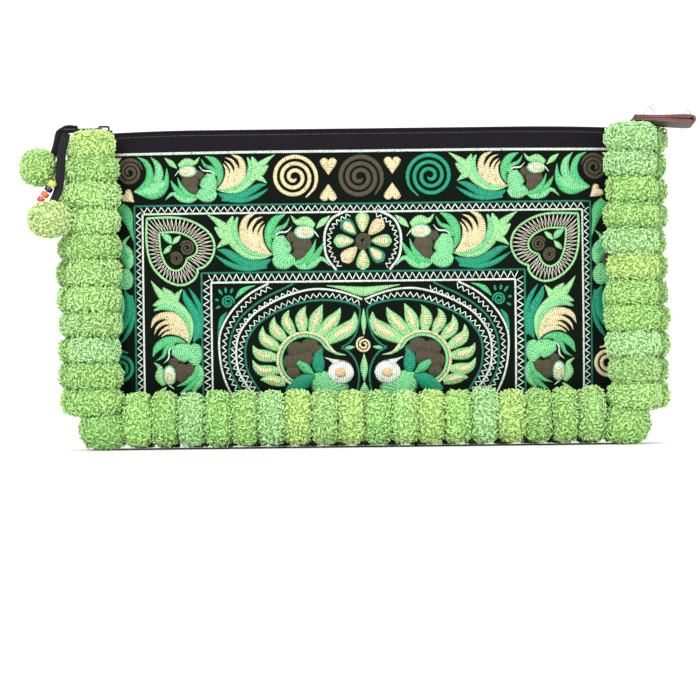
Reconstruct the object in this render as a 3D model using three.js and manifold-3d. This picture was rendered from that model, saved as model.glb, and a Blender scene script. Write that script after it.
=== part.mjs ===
// Hmong embroidered zip pouch with a double pompom trim, standing on its pompoms.
// Millimetres, +Z up. The embroidered face looks along -Y and the floor is Z = 0.

import * as THREE from 'three';
import { mergeVertices } from 'three/addons/utils/BufferGeometryUtils.js';
import Module from 'manifold-3d';

const wasm = await Module();
wasm.setup();

// Space left between two pieces that touch.
const CLEARANCE = 0.3;

// Pouch body: two cloth walls sewn together at the sides and the bottom.
const BODY_HALF_WIDTH = 144;
const BODY_BOTTOM = 4;
const BODY_TOP = 165;
const CLOTH = 1.5;
const SIDE_SEAM = 11;
const BOTTOM_SEAM = 14;
const BELLY_HALF_DEPTH = 10;
const MOUTH_HALF_DEPTH = 4;
const SIDE_RUN = 55;
const BOTTOM_RUN = 50;
const TOP_RUN = 70;
const MOUTH_RUN = 12;
const END_SAG = 1.8;
const SAG_START = 80;
const BAND_HEIGHT = 11.3;
const WALL_COLUMNS = 16;
const PANEL_ROWS = 8;
const BAND_ROWS = 2;

// Pompom trim: two strands of yarn balls, on the front and on the back of the seam.
const POMPOM_DEPTH_RADIUS = 11.5;
const COLUMN_RADIUS = 13;
const COLUMN_RISE = 1;
const COLUMN_TOP = BODY_TOP + COLUMN_RISE;
const COLUMN_BOTTOM = 18.6;
const COLUMN_COUNT = 11;
const COLUMN_INSET = 4.5;
const FRONT_COLUMN_X = BODY_HALF_WIDTH - COLUMN_INSET;
const BACK_COLUMN_STEP = 3.5;
const BACK_COLUMN_X = FRONT_COLUMN_X + BACK_COLUMN_STEP;
const BACK_COLUMN_SPREAD = 4;
const FRONT_ROW_COUNT = 18;
const BACK_ROW_COUNT = 17;
const ROW_INSET = 15;
const ROW_HALF_LENGTH = FRONT_COLUMN_X - ROW_INSET;
const FRONT_ROW_RADIUS = 15.2;
const FRONT_ROW_HEIGHT = 14;
const BACK_ROW_RADIUS = 12.8;
const BACK_ROW_HEIGHT = 10.6;
const CORNER_LENGTH = 24;
const CORNER_RADIUS = 9.4;
const CORNER_HEIGHT = 8.6;
const CORNER_ROUNDNESS = 3;
const BALL_SIDES = 12;
const VALLEY_SHARE = 0.9;
const END_SHARE = 0.6;
const RADIUS_WOBBLE = 0.03;
const SWAY = 0.5;
const SIDE_SEED_STEP = 3;
const FACE_SEED_STEP = 20;
const ROW_SEED = 50;

// Zip along the mouth.
const ZIP_START_INSET = 5;
const ZIP_END_INSET = 11;
const ZIP_LEFT = ZIP_START_INSET - BODY_HALF_WIDTH;
const ZIP_RIGHT = BODY_HALF_WIDTH - ZIP_END_INSET;
const ZIP_STEPS = 12;
const TAPE_THICKNESS = 0.9;
const COIL_WIDTH = 3.2;
const COIL_HEIGHT = 1.2;
const SLIDER_LENGTH = 9;
const SLIDER_WIDTH = 7;
const SLIDER_PLATE = 1;
const BRIDGE_WIDTH = 1.8;
const BRIDGE_METAL = 1;
const BRIDGE_SPAN = 6;
const PULL_METAL = 1;
const PULL_LENGTH = 20;
const PULL_EYE_LENGTH = 6;
const PULL_EYE_WIDTH = 7.4;
const PULL_BAR_WIDTH = 1.6;
const PULL_HEAD_LENGTH = 4.4;
const PULL_HEAD_WIDTH = 4.6;
const PULL_RIM = 1.1;

// Leather tab folded over the free end of the zip.
const LEATHER = 1.2;
const TAB_OVERLAP = 2;
const TAB_START = BODY_HALF_WIDTH - TAB_OVERLAP;
const TAB_LENGTH = 32;
const TAB_WIDTH = 24;
const TAB_RISE = 2.9;
const TAB_HEIGHT = COLUMN_TOP + TAB_RISE;
const TAB_DROOP = THREE.MathUtils.degToRad(2);
const TAIL_INSIDE = 9;
const TAIL_WIDTH = 9;

// Flat cloth strap on the zip pull, its two tails and what hangs on them.
const STRAP_WIDTH = 4.6;
const STRAP_THICKNESS = 1.2;
const STRAP_STEPS = 8;
const UPPER_PENDANT_RADIUS = 9.2;
const LOWER_PENDANT_RADIUS = 10.8;
const LOWER_PENDANT_HALF_HEIGHT = 8.8;
const LOWER_PENDANT_TUCK = 3;
const BEAD_RADIUS = 2.25;
const BEAD_LENGTH = 3.1;
const BEAD_BORE = 0.55;
const BEAD_SIDES = 10;
const THREAD_RADIUS = 0.25;
const THREAD_TAIL = 1.6;

const clamp = THREE.MathUtils.clamp;
const ease = (share) => 1 - (1 - clamp(share, 0, 1)) ** 2;
const mix = THREE.MathUtils.lerp;

// A closed body from points and triangles, turned outward by the sign of its volume.
function closedBody(points, triangles) {
  let volume = 0;
  for (const [a, b, c] of triangles) {
    volume += points[a].dot(points[b].clone().cross(points[c]));
  }
  const index = triangles.flatMap(([a, b, c]) => (volume > 0 ? [a, b, c] : [a, c, b]));
  const geometry = new THREE.BufferGeometry();
  const places = points.flatMap((p) => [p.x, p.y, p.z]);
  geometry.setAttribute('position', new THREE.Float32BufferAttribute(places, 3));
  geometry.setIndex(index);
  geometry.computeVertexNormals();
  return geometry;
}

// A body skinned over closed rings of equal point count, with a fan over each end.
function skinnedBody(rings) {
  const sides = rings[0].length;
  const points = rings.flat();
  const triangles = [];
  for (let r = 0; r < rings.length - 1; r += 1) {
    for (let k = 0; k < sides; k += 1) {
      const next = (k + 1) % sides;
      const a = r * sides + k;
      const b = r * sides + next;
      triangles.push([a, b, b + sides], [a, b + sides, a + sides]);
    }
  }
  const lastStart = (rings.length - 1) * sides;
  for (const [ring, first, flip] of [[rings[0], 0, true], [rings.at(-1), lastStart, false]]) {
    const centre = ring.reduce((sum, p) => sum.add(p), new THREE.Vector3()).divideScalar(sides);
    const hub = points.push(centre) - 1;
    for (let k = 0; k < sides; k += 1) {
      const a = first + k;
      const b = first + ((k + 1) % sides);
      triangles.push(flip ? [hub, b, a] : [hub, a, b]);
    }
  }
  return closedBody(points, triangles);
}

// A wall between two surfaces of the same two parameters, closed round its rim.
function wallBody(columns, rows, outer, inner) {
  const rings = [];
  for (let i = 0; i <= columns; i += 1) {
    const ring = [];
    for (let j = 0; j <= rows; j += 1) {
      ring.push(outer(i / columns, j / rows));
    }
    for (let j = rows; j >= 0; j -= 1) {
      ring.push(inner(i / columns, j / rows));
    }
    rings.push(ring);
  }
  const sides = rings[0].length;
  const points = rings.flat();
  const triangles = [];
  for (let r = 0; r < columns; r += 1) {
    for (let k = 0; k < sides; k += 1) {
      const a = r * sides + k;
      const b = r * sides + ((k + 1) % sides);
      triangles.push([a, b, b + sides], [a, b + sides, a + sides]);
    }
  }
  for (let j = 0; j < rows; j += 1) {
    const last = columns * sides;
    const [a, b, c, d] = [j, j + 1, sides - 2 - j, sides - 1 - j];
    triangles.push([a, c, b], [a, d, c]);
    triangles.push([last + a, last + b, last + c], [last + a, last + c, last + d]);
  }
  return closedBody(points, triangles);
}

function toManifold(geometry) {
  const bare = geometry.clone();
  bare.deleteAttribute('normal');
  bare.deleteAttribute('uv');
  const merged = mergeVertices(bare, 1e-4);
  return new wasm.Manifold(new wasm.Mesh({
    numProp: 3,
    vertProperties: new Float32Array(merged.attributes.position.array),
    triVerts: new Uint32Array(merged.index.array),
  }));
}

function fromManifold(manifold) {
  const mesh = manifold.getMesh();
  const geometry = new THREE.BufferGeometry();
  geometry.setAttribute('position', new THREE.Float32BufferAttribute(mesh.vertProperties, 3));
  geometry.setIndex(Array.from(mesh.triVerts));
  geometry.computeVertexNormals();
  return geometry;
}

// A repeatable number from -1 to 1 for each seed, for the small differences between hand-made balls.
function wobble(seed) {
  const value = Math.sin(seed * 12.9898) * 43758.5453;
  return 2 * (value - Math.floor(value)) - 1;
}

// Pouch walls.

// Top edge of the pouch: level in the middle and a little lower towards both ends.
function topEdge(x) {
  const share = clamp((Math.abs(x) - SAG_START) / (BODY_HALF_WIDTH - SAG_START), 0, 1);
  return BODY_TOP - END_SAG * share ** 2;
}

// Outer surface, measured from the seam's mid-plane: flat seams, a full belly and a narrower mouth.
function halfDepth(x, z) {
  const seam = CLOTH + CLEARANCE / 2;
  const fromSide = BODY_HALF_WIDTH - SIDE_SEAM - Math.abs(x);
  const side = ease(fromSide / SIDE_RUN);
  const bottom = ease((z - BODY_BOTTOM - BOTTOM_SEAM) / BOTTOM_RUN);
  const below = THREE.MathUtils.smoothstep(BODY_TOP - z, 0, TOP_RUN);
  const belly = (BELLY_HALF_DEPTH - seam) * side * bottom * below;
  const mouth = (MOUTH_HALF_DEPTH - seam) * ease(fromSide / MOUTH_RUN) * (1 - below);
  return seam + belly + mouth;
}

// Even steps from 0 to 1, apart from a first and a last step that are one seam allowance wide.
function betweenSeams(share, steps, first, last) {
  const lastStep = last > 0 ? 1 : 0;
  const step = share * steps;
  if (step < 1) {
    return step * first;
  }
  if (step > steps - lastStep) {
    return 1 - (steps - step) * last;
  }
  return mix(first, 1 - last, (step - 1) / (steps - 1 - lastStep));
}

function clothWall(face, low, high, rows, lowSeam) {
  const sideSeam = SIDE_SEAM / (2 * BODY_HALF_WIDTH);
  const point = (u, v, inward) => {
    const x = mix(-BODY_HALF_WIDTH, BODY_HALF_WIDTH, betweenSeams(u, WALL_COLUMNS, sideSeam, sideSeam));
    const z = mix(low(x), high(x), betweenSeams(v, rows, lowSeam, 0));
    return new THREE.Vector3(x, face * (halfDepth(x, z) - inward), z);
  };
  return wallBody(WALL_COLUMNS, rows, (u, v) => point(u, v, 0), (u, v) => point(u, v, CLOTH));
}

const panelTop = BODY_TOP - BAND_HEIGHT;

function panel(face) {
  const seam = BOTTOM_SEAM / (panelTop - BODY_BOTTOM);
  return clothWall(face, () => BODY_BOTTOM, () => panelTop, PANEL_ROWS, seam);
}

function topBand(face) {
  return clothWall(face, () => panelTop + CLEARANCE, topEdge, BAND_ROWS, 1 / BAND_ROWS);
}

// Pompom strands.

// Outline of one ball along its strand: a pinch where it meets the ball before, then a full belly.
const BALL_PROFILE = [
  { at: 0, size: 0.72 },
  { at: 0.22, size: 0.95 },
  { at: 0.5, size: 1 },
  { at: 0.78, size: 0.95 },
];

const strandDepth = CLOTH + CLEARANCE / 2 + CLEARANCE + POMPOM_DEPTH_RADIUS;

// The yarn locks are the ridges of each ball: every other point of a ring is a lock's tip.
function strandBody(balls, place) {
  const ring = (s, centre, radius, depth, turn) => Array.from({ length: BALL_SIDES }, (_, k) => {
    const angle = ((k + 0.5) * 2 * Math.PI) / BALL_SIDES;
    const lock = (k + turn) % 2 === 0 ? 1 : VALLEY_SHARE;
    return place(s, centre + radius * lock * Math.sin(angle), depth * lock * Math.cos(angle));
  });
  const rings = balls.flatMap((ball, i) => BALL_PROFILE.map(({ at, size }, j) => {
    const before = balls[Math.max(i - 1, 0)];
    const waist = i === 0 ? END_SHARE : size;
    const share = j === 0 ? waist : size ** ball.roundness;
    const centre = j === 0 ? (ball.centre + before.centre) / 2 : ball.centre;
    const radius = j === 0 ? Math.min(ball.radius, before.radius) : ball.radius;
    return ring(mix(ball.from, ball.to, at), centre, radius * share, POMPOM_DEPTH_RADIUS * share, j);
  }));
  const last = balls.at(-1);
  rings.push(ring(last.to, last.centre, last.radius * END_SHARE, POMPOM_DEPTH_RADIUS * END_SHARE, 0));
  return skinnedBody(rings);
}

function evenBalls(from, to, count, seed, centre, radius) {
  const pitch = (to - from) / count;
  return Array.from({ length: count }, (_, i) => ({
    from: from + i * pitch,
    to: from + (i + 1) * pitch,
    centre: centre(from + (i + 0.5) * pitch) + SWAY * wobble(seed + i),
    roundness: 1,
    radius: radius * (1 + RADIUS_WOBBLE * wobble(seed + i + 0.5)),
  }));
}

function frontColumnX() {
  return FRONT_COLUMN_X;
}

// The back strand stands further out, on the left only towards the bottom of the pouch.
function backColumnX(side) {
  const share = (z) => (side > 0 ? 1 : ease((COLUMN_TOP - z) / (COLUMN_TOP / 2)));
  return (z) => BACK_COLUMN_X + BACK_COLUMN_SPREAD * share(z);
}

function column(side, face, centre, seed) {
  const balls = evenBalls(COLUMN_TOP, COLUMN_BOTTOM, COLUMN_COUNT, seed, centre, COLUMN_RADIUS);
  return strandBody(balls, (s, u, v) => new THREE.Vector3(side * u, face * strandDepth + v, s));
}

// A row lies on the floor, so its lowest locks are pressed flat there.
function row(face, { count, height, radius }, seed) {
  const balls = evenBalls(-ROW_HALF_LENGTH, ROW_HALF_LENGTH, count, seed, () => height, radius);
  const look = { centre: CORNER_HEIGHT, radius: CORNER_RADIUS, roundness: CORNER_ROUNDNESS };
  const corner = (from, to) => ({ ...look, from, to });
  balls.unshift(corner(-ROW_HALF_LENGTH - CORNER_LENGTH, -ROW_HALF_LENGTH));
  balls.push(corner(ROW_HALF_LENGTH, ROW_HALF_LENGTH + CORNER_LENGTH));
  return strandBody(balls, (s, u, v) => new THREE.Vector3(s, face * strandDepth + v, Math.max(0, u)));
}

// Zip.

const zipLevel = (x) => topEdge(x) + CLEARANCE;
const tailLevel = (x) => TAB_HEIGHT - Math.tan(TAB_DROOP) * (x - TAB_START) - TAPE_THICKNESS / 2;

// Stations of a tape strip: along the mouth, then up over the end of the pouch and into the tab.
function tapeStations() {
  const stations = Array.from({ length: ZIP_STEPS + 1 }, (_, i) => {
    const x = mix(ZIP_LEFT, ZIP_RIGHT, i / ZIP_STEPS);
    return { x, edge: Math.max(halfDepth(x, topEdge(x)), COIL_WIDTH), level: zipLevel(x) };
  });
  const tail = [
    { x: TAB_START - CLEARANCE, spread: 0.8 },
    { x: TAB_START + TAIL_INSIDE, spread: 1 },
  ];
  const rise = ({ x, spread }) => ({ x, edge: TAIL_WIDTH * spread, level: tailLevel(x) });
  return stations.concat(tail.map(rise));
}

function zipTape(face) {
  const stations = tapeStations();
  const inner = COIL_WIDTH / 2 + CLEARANCE;
  const rings = stations.map(({ x, edge, level }) => [
    new THREE.Vector3(x, face * inner, level),
    new THREE.Vector3(x, face * edge, level),
    new THREE.Vector3(x, face * edge, level + TAPE_THICKNESS),
    new THREE.Vector3(x, face * inner, level + TAPE_THICKNESS),
  ]);
  return skinnedBody(rings);
}

function zipCoil() {
  const half = COIL_WIDTH / 2;
  const rings = Array.from({ length: ZIP_STEPS + 1 }, (_, i) => {
    const x = mix(ZIP_LEFT, ZIP_RIGHT, i / ZIP_STEPS);
    const low = zipLevel(x);
    return [[-half, 0], [half, 0], [half, 0.6], [half / 2, 1], [-half / 2, 1], [-half, 0.6]].map(
      ([y, share]) => new THREE.Vector3(x, y, low + share * COIL_HEIGHT),
    );
  });
  return skinnedBody(rings);
}

const sliderX = ZIP_LEFT + SLIDER_LENGTH / 2;
const sliderFloor = zipLevel(ZIP_LEFT + SLIDER_LENGTH) + COIL_HEIGHT + CLEARANCE;
const pullFloor = Math.max(sliderFloor + SLIDER_PLATE, COLUMN_TOP) + CLEARANCE;
const bridgeRoom = pullFloor + PULL_METAL + CLEARANCE - sliderFloor - SLIDER_PLATE;

// Slider: a plate with a rounded nose and a bridge that the pull hooks under.
function zipSlider() {
  const plate = new THREE.Shape();
  const [l, w] = [SLIDER_LENGTH / 2, SLIDER_WIDTH / 2];
  plate.moveTo(-l + 1, -w);
  plate.lineTo(l - w * 0.6, -w);
  plate.lineTo(l, -w * 0.45);
  plate.lineTo(l, w * 0.45);
  plate.lineTo(l - w * 0.6, w);
  plate.lineTo(-l + 1, w);
  plate.lineTo(-l, w - 1);
  plate.lineTo(-l, -w + 1);
  plate.closePath();
  const base = new THREE.ExtrudeGeometry(plate, { depth: SLIDER_PLATE, bevelEnabled: false });

  const arch = new THREE.Shape();
  const outer = BRIDGE_SPAN / 2;
  const innerSpan = outer - BRIDGE_METAL;
  const sunk = SLIDER_PLATE / 2;
  const rise = bridgeRoom + BRIDGE_METAL + sunk;
  arch.moveTo(-outer, 0);
  arch.lineTo(-innerSpan, 0);
  arch.lineTo(-innerSpan, rise - BRIDGE_METAL);
  arch.lineTo(innerSpan, rise - BRIDGE_METAL);
  arch.lineTo(innerSpan, 0);
  arch.lineTo(outer, 0);
  arch.lineTo(outer, rise - BRIDGE_METAL * 0.7);
  arch.lineTo(outer - BRIDGE_METAL * 0.7, rise);
  arch.lineTo(-outer + BRIDGE_METAL * 0.7, rise);
  arch.lineTo(-outer, rise - BRIDGE_METAL * 0.7);
  arch.closePath();
  const bridge = new THREE.ExtrudeGeometry(arch, { depth: BRIDGE_WIDTH, bevelEnabled: false });
  bridge.rotateX(Math.PI / 2);
  bridge.translate(0, BRIDGE_WIDTH / 2, sunk);
  return fromManifold(toManifold(base).add(toManifold(bridge)));
}

function rectanglePath(shape, x0, x1, halfWidth) {
  shape.moveTo(x0, -halfWidth);
  shape.lineTo(x1, -halfWidth);
  shape.lineTo(x1, halfWidth);
  shape.lineTo(x0, halfWidth);
  shape.closePath();
  return shape;
}

// Pull: a flat bar with a small head round the bridge's left leg and an open eye for the strap.
function zipPull() {
  const outline = new THREE.Shape();
  const [head, bar, eye] = [PULL_HEAD_WIDTH / 2, PULL_BAR_WIDTH / 2, PULL_EYE_WIDTH / 2];
  const eyeStart = -PULL_LENGTH + PULL_EYE_LENGTH;
  outline.moveTo(0, -head);
  outline.lineTo(0, head);
  outline.lineTo(-PULL_HEAD_LENGTH, head);
  outline.lineTo(-PULL_HEAD_LENGTH, bar);
  outline.lineTo(eyeStart, bar);
  outline.lineTo(eyeStart, eye);
  outline.lineTo(-PULL_LENGTH, eye);
  outline.lineTo(-PULL_LENGTH, -eye);
  outline.lineTo(eyeStart, -eye);
  outline.lineTo(eyeStart, -bar);
  outline.lineTo(-PULL_HEAD_LENGTH, -bar);
  outline.lineTo(-PULL_HEAD_LENGTH, -head);
  outline.closePath();
  const window = (x0, x1, half) => rectanglePath(new THREE.Path(), x0 + PULL_RIM, x1 - PULL_RIM, half - PULL_RIM);
  outline.holes.push(window(-PULL_HEAD_LENGTH, 0, head));
  outline.holes.push(window(-PULL_LENGTH, eyeStart, eye));
  return new THREE.ExtrudeGeometry(outline, { depth: PULL_METAL, bevelEnabled: false });
}

// Leather tab: one strip folded back on itself round the zip's tail.
function leatherTab() {
  const gap = TAPE_THICKNESS / 2 + CLEARANCE;
  const outer = gap + LEATHER;
  const bend = TAB_LENGTH - outer;
  const outline = new THREE.Shape();
  outline.moveTo(0, gap);
  outline.lineTo(0, outer);
  outline.lineTo(bend, outer);
  outline.absarc(bend, 0, outer, Math.PI / 2, -Math.PI / 2, true);
  outline.lineTo(0, -outer);
  outline.lineTo(0, -gap);
  outline.lineTo(bend, -gap);
  outline.absarc(bend, 0, gap, -Math.PI / 2, Math.PI / 2, false);
  outline.closePath();
  const options = { depth: TAB_WIDTH, bevelEnabled: false, curveSegments: 6 };
  const geometry = new THREE.ExtrudeGeometry(outline, options);
  geometry.rotateX(Math.PI / 2);
  geometry.translate(0, TAB_WIDTH / 2, 0);
  return geometry;
}

// Strap, pendants and beads at the left end.

const pullX = sliderX - BRIDGE_SPAN / 2 + BRIDGE_METAL + CLEARANCE + PULL_RIM;
const knotX = pullX - PULL_LENGTH + PULL_RIM / 2;
const knotZ = pullFloor + PULL_METAL / 2;
const knotReach = PULL_RIM / 2 + CLEARANCE + STRAP_THICKNESS;

// The strap's fold round the end of the pull's eye.
function strapFold() {
  const square = (path, half) => rectanglePath(path, -half, half, half);
  const outline = square(new THREE.Shape(), knotReach);
  outline.holes.push(square(new THREE.Path(), knotReach - STRAP_THICKNESS));
  const geometry = new THREE.ExtrudeGeometry(outline, { depth: STRAP_WIDTH, bevelEnabled: false });
  geometry.rotateX(Math.PI / 2);
  geometry.translate(0, STRAP_WIDTH / 2, 0);
  return geometry;
}

// Routes of the two strap tails, measured from the fold, and chosen along the hanging strap.
const LONG_TAIL = [
  { x: -1.2, y: -1.4, z: -2.45 },
  { x: -1.9, y: -1.8, z: -6 },
  { x: -2.8, y: -4, z: -12 },
  { x: -3.1, y: -8.2, z: -26.7 },
  { x: -3.5, y: -10, z: -32 },
  { x: -5.2, y: -17, z: -38.05 },
];
const SHORT_TAIL = [
  { x: -3.25, y: 0.9, z: -1.7 },
  { x: -4.1, y: 0.9, z: -5 },
  { x: -5.2, y: 0.9, z: -9.5 },
  { x: -6.8, y: 0.9, z: -13 },
];
const UPPER_PENDANT = { x: -14.4, y: 0.9, z: -19.6 };
const LOWER_PENDANT = { y: -20.8, z: -47.6 };
const BEADS = [
  { name: 'bead_lime', colour: 0xc9d94a },
  { name: 'bead_black', colour: 0x1d1626 },
  { name: 'bead_orange', colour: 0xf0762c },
  { name: 'bead_pink', colour: 0xd8356f },
];
const BEAD_STRING_START = { x: -5.2, y: -12.8, z: -27.4 };
const BEAD_DIRECTION = new THREE.Vector3(-0.58, 0, -0.815).normalize();

const fromFold = ({ x, y, z }) => new THREE.Vector3(knotX + x, y, knotZ + z);

function flatStrap(route) {
  const [w, t] = [STRAP_WIDTH / 2, STRAP_THICKNESS / 2];
  const section = new THREE.Shape([
    [t, -w * 0.8], [t, w * 0.8], [t * 0.4, w], [-t * 0.4, w],
    [-t, w * 0.8], [-t, -w * 0.8], [-t * 0.4, -w], [t * 0.4, -w],
  ].map(([x, y]) => new THREE.Vector2(x, y)));
  const path = new THREE.CatmullRomCurve3(route.map(fromFold));
  return new THREE.ExtrudeGeometry(section, { steps: STRAP_STEPS, extrudePath: path, bevelEnabled: false });
}

// A hanging ball: rings at even steps of latitude between two small flat poles.
function pendant(radius, halfHeight) {
  const latitudes = [0.13, 0.3, 0.5, 0.7, 0.87].map((share) => share * Math.PI);
  const pole = Math.cos(latitudes[0]);
  return skinnedBody(latitudes.map((latitude, j) => Array.from({ length: BALL_SIDES }, (_, k) => {
    const angle = ((k + 0.5) * 2 * Math.PI) / BALL_SIDES;
    const reach = radius * Math.sin(latitude) * ((k + j) % 2 === 0 ? 1 : VALLEY_SHARE);
    const height = (halfHeight * Math.cos(latitude)) / pole;
    return new THREE.Vector3(reach * Math.cos(angle), reach * Math.sin(angle), height);
  })));
}

function bead() {
  const [r, h, b] = [BEAD_RADIUS, BEAD_LENGTH / 2, BEAD_BORE];
  const profile = [[b, -h], [r * 0.72, -h], [r, -h * 0.35], [r, h * 0.35], [r * 0.72, h], [b, h], [b, -h]];
  const geometry = new THREE.LatheGeometry(profile.map(([x, y]) => new THREE.Vector2(x, y)), BEAD_SIDES);
  return fromManifold(toManifold(geometry));
}

// The string of beads starts on the front of the long tail.
const beadPitch = BEAD_LENGTH + CLEARANCE;
const alongBeads = (distance) => fromFold(BEAD_STRING_START).addScaledVector(BEAD_DIRECTION, distance);

function beadThread() {
  const start = alongBeads(-THREAD_TAIL);
  const end = alongBeads(BEADS.length * beadPitch + THREAD_TAIL);
  const section = new THREE.Shape();
  section.absarc(0, 0, THREAD_RADIUS, 0, 2 * Math.PI, false);
  const path = new THREE.LineCurve3(start, end);
  const options = { steps: 4, extrudePath: path, bevelEnabled: false, curveSegments: 8 };
  return new THREE.ExtrudeGeometry(section, options);
}

// Assembly.

const finish = (color, roughness, metalness = 0) => ({ color, roughness, metalness });
const BLACK_CLOTH = finish(0x25202a, 0.92);
const YARN = finish(0x9cd068, 0.95);
const BLACK_METAL = finish(0x17151a, 0.4, 0.8);
const BROWN_LEATHER = finish(0x5f3330, 0.6);

const bag = new THREE.Group();
const pouch = new THREE.Group();
const hanging = new THREE.Group();
bag.add(pouch, hanging);

function add(name, geometry, look, place = pouch) {
  const mesh = new THREE.Mesh(geometry, new THREE.MeshStandardMaterial(look));
  mesh.name = name;
  place.add(mesh);
  return mesh;
}

const FACES = [{ face: -1, word: 'front' }, { face: 1, word: 'back' }];
const SIDES = [{ side: -1, word: 'left' }, { side: 1, word: 'right' }];

const ROWS = {
  front: { count: FRONT_ROW_COUNT, height: FRONT_ROW_HEIGHT, radius: FRONT_ROW_RADIUS },
  back: { count: BACK_ROW_COUNT, height: BACK_ROW_HEIGHT, radius: BACK_ROW_RADIUS },
};

for (const { face, word } of FACES) {
  add(`${word}_panel`, panel(face), BLACK_CLOTH);
  add(`${word}_top_band`, topBand(face), BLACK_CLOTH);
  add(`zip_tape_${word}`, zipTape(face), BLACK_CLOTH);
  const isFront = face < 0;
  for (const { side, word: sideWord } of SIDES) {
    const centre = isFront ? frontColumnX : backColumnX(side);
    const seed = SIDE_SEED_STEP * side + FACE_SEED_STEP * face;
    add(`pompoms_${word}_${sideWord}`, column(side, face, centre, seed), YARN);
  }
  add(`pompoms_${word}_bottom`, row(face, ROWS[word], ROW_SEED + face), YARN);
}

add('zip_coil', zipCoil(), BLACK_METAL);
add('zip_slider', zipSlider(), BLACK_METAL).position.set(sliderX, 0, sliderFloor);
add('zip_pull', zipPull(), BLACK_METAL).position.set(pullX, 0, pullFloor);

const tab = add('leather_tab', leatherTab(), BROWN_LEATHER);
tab.position.set(TAB_START, 0, TAB_HEIGHT);
tab.rotation.y = TAB_DROOP;

add('strap_fold', strapFold(), BLACK_CLOTH).position.set(knotX, 0, knotZ);
add('strap_long', flatStrap(LONG_TAIL), BLACK_CLOTH, hanging);
add('strap_short', flatStrap(SHORT_TAIL), BLACK_CLOTH, hanging);
add('pendant_upper', pendant(UPPER_PENDANT_RADIUS, UPPER_PENDANT_RADIUS), YARN, hanging)
  .position.copy(fromFold(UPPER_PENDANT));
const columnEdge = FRONT_COLUMN_X + COLUMN_RADIUS * (1 + RADIUS_WOBBLE) + SWAY + CLEARANCE;
const lowerPendantX = LOWER_PENDANT_TUCK - columnEdge - LOWER_PENDANT_RADIUS;
add('pendant_lower', pendant(LOWER_PENDANT_RADIUS, LOWER_PENDANT_HALF_HEIGHT), YARN, hanging)
  .position.set(lowerPendantX, LOWER_PENDANT.y, knotZ + LOWER_PENDANT.z);

BEADS.forEach(({ name, colour }, i) => {
  const mesh = add(name, bead(), finish(colour, 0.3));
  mesh.position.copy(alongBeads((i + 0.5) * beadPitch));
  mesh.quaternion.setFromUnitVectors(new THREE.Vector3(0, 1, 0), BEAD_DIRECTION);
});
add('bead_thread', beadThread(), BLACK_CLOTH);

// The origin is on the floor under the middle of the pouch with its tab and beads.
const reach = new THREE.Box3().setFromObject(pouch, true);
bag.position.x = -(reach.min.x + reach.max.x) / 2;

export default bag;
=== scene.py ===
"""Looks of the Hmong embroidered zip pouch, built over its CAD frame.

Lengths are millimetres from the pouch's own middle line and the floor, and the embroidery's chart counts
units of 0.52 mm from that middle line and the floor. Meshes are made in metres in the row frame.
"""

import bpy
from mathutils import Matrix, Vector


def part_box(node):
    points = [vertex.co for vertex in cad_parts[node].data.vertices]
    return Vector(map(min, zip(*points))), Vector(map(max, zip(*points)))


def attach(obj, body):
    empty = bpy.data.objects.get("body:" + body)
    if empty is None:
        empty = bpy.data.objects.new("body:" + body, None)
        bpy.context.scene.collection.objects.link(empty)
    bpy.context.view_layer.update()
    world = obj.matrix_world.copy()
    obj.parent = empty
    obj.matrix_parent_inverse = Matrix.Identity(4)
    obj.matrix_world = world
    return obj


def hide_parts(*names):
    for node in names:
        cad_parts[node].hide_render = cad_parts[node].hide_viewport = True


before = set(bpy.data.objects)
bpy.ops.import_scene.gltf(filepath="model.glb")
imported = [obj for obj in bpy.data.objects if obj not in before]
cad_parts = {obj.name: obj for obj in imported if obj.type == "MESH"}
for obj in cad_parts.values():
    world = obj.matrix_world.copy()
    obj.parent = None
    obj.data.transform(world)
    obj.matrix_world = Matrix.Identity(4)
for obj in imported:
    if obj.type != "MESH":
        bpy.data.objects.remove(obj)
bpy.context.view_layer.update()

import logging
import math
from dataclasses import dataclass
from enum import Enum

import bpy
import numpy as np
from mathutils import Euler, Vector

log = logging.getLogger("pouch")

MM = 0.001
UNIT = 0.52
CLOTH = 1.5
CLEARANCE = 0.3
BODY_HALF_WIDTH = 144.0
BODY_BOTTOM = 4.0
BODY_TOP = 165.0
BAND_HEIGHT = 11.3
SIDE_SEAM = 11.0
BOTTOM_SEAM = 14.0
BELLY_HALF_DEPTH = 10.0
MOUTH_HALF_DEPTH = 4.0
SIDE_RUN = 55.0
BOTTOM_RUN = 50.0
TOP_RUN = 70.0
MOUTH_RUN = 12.0
END_SAG = 1.8
SAG_START = 80.0
COLUMN_TOP = BODY_TOP + 1.0
COLUMN_BOTTOM = 18.6
COLUMN_COUNT = 11
COLUMN_RADIUS = 13.0
POMPOM_DEPTH_RADIUS = 11.5
STRAND_DEPTH = CLOTH + CLEARANCE / 2 + CLEARANCE + POMPOM_DEPTH_RADIUS
FRONT_COLUMN_X = BODY_HALF_WIDTH - 4.5
BACK_COLUMN_X = FRONT_COLUMN_X + 3.5
BACK_COLUMN_SPREAD = 4.0
FRONT_ROW_COUNT = 18
BACK_ROW_COUNT = 17
ROW_HALF_LENGTH = FRONT_COLUMN_X - 15.0
CORNER_LENGTH = 24.0
CORNER_RADIUS = 9.4
CORNER_HEIGHT = 8.6
ZIP_LEFT = -139.0
ZIP_RIGHT = 133.0
COIL_WIDTH = 3.2
COIL_HEIGHT = 1.2
TAPE_THICKNESS = 0.9
TAB_START = BODY_HALF_WIDTH - 2.0
TAB_LENGTH = 32.0
TAB_WIDTH = 24.0
TAB_HEIGHT = COLUMN_TOP + 2.9
TAB_DROOP = math.radians(2)
LEATHER = 1.2
FOLD = np.array([-154.55, 0.0, 167.5])
STRAP_WIDTH = 4.6
STRAP_THICKNESS = 1.2
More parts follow.
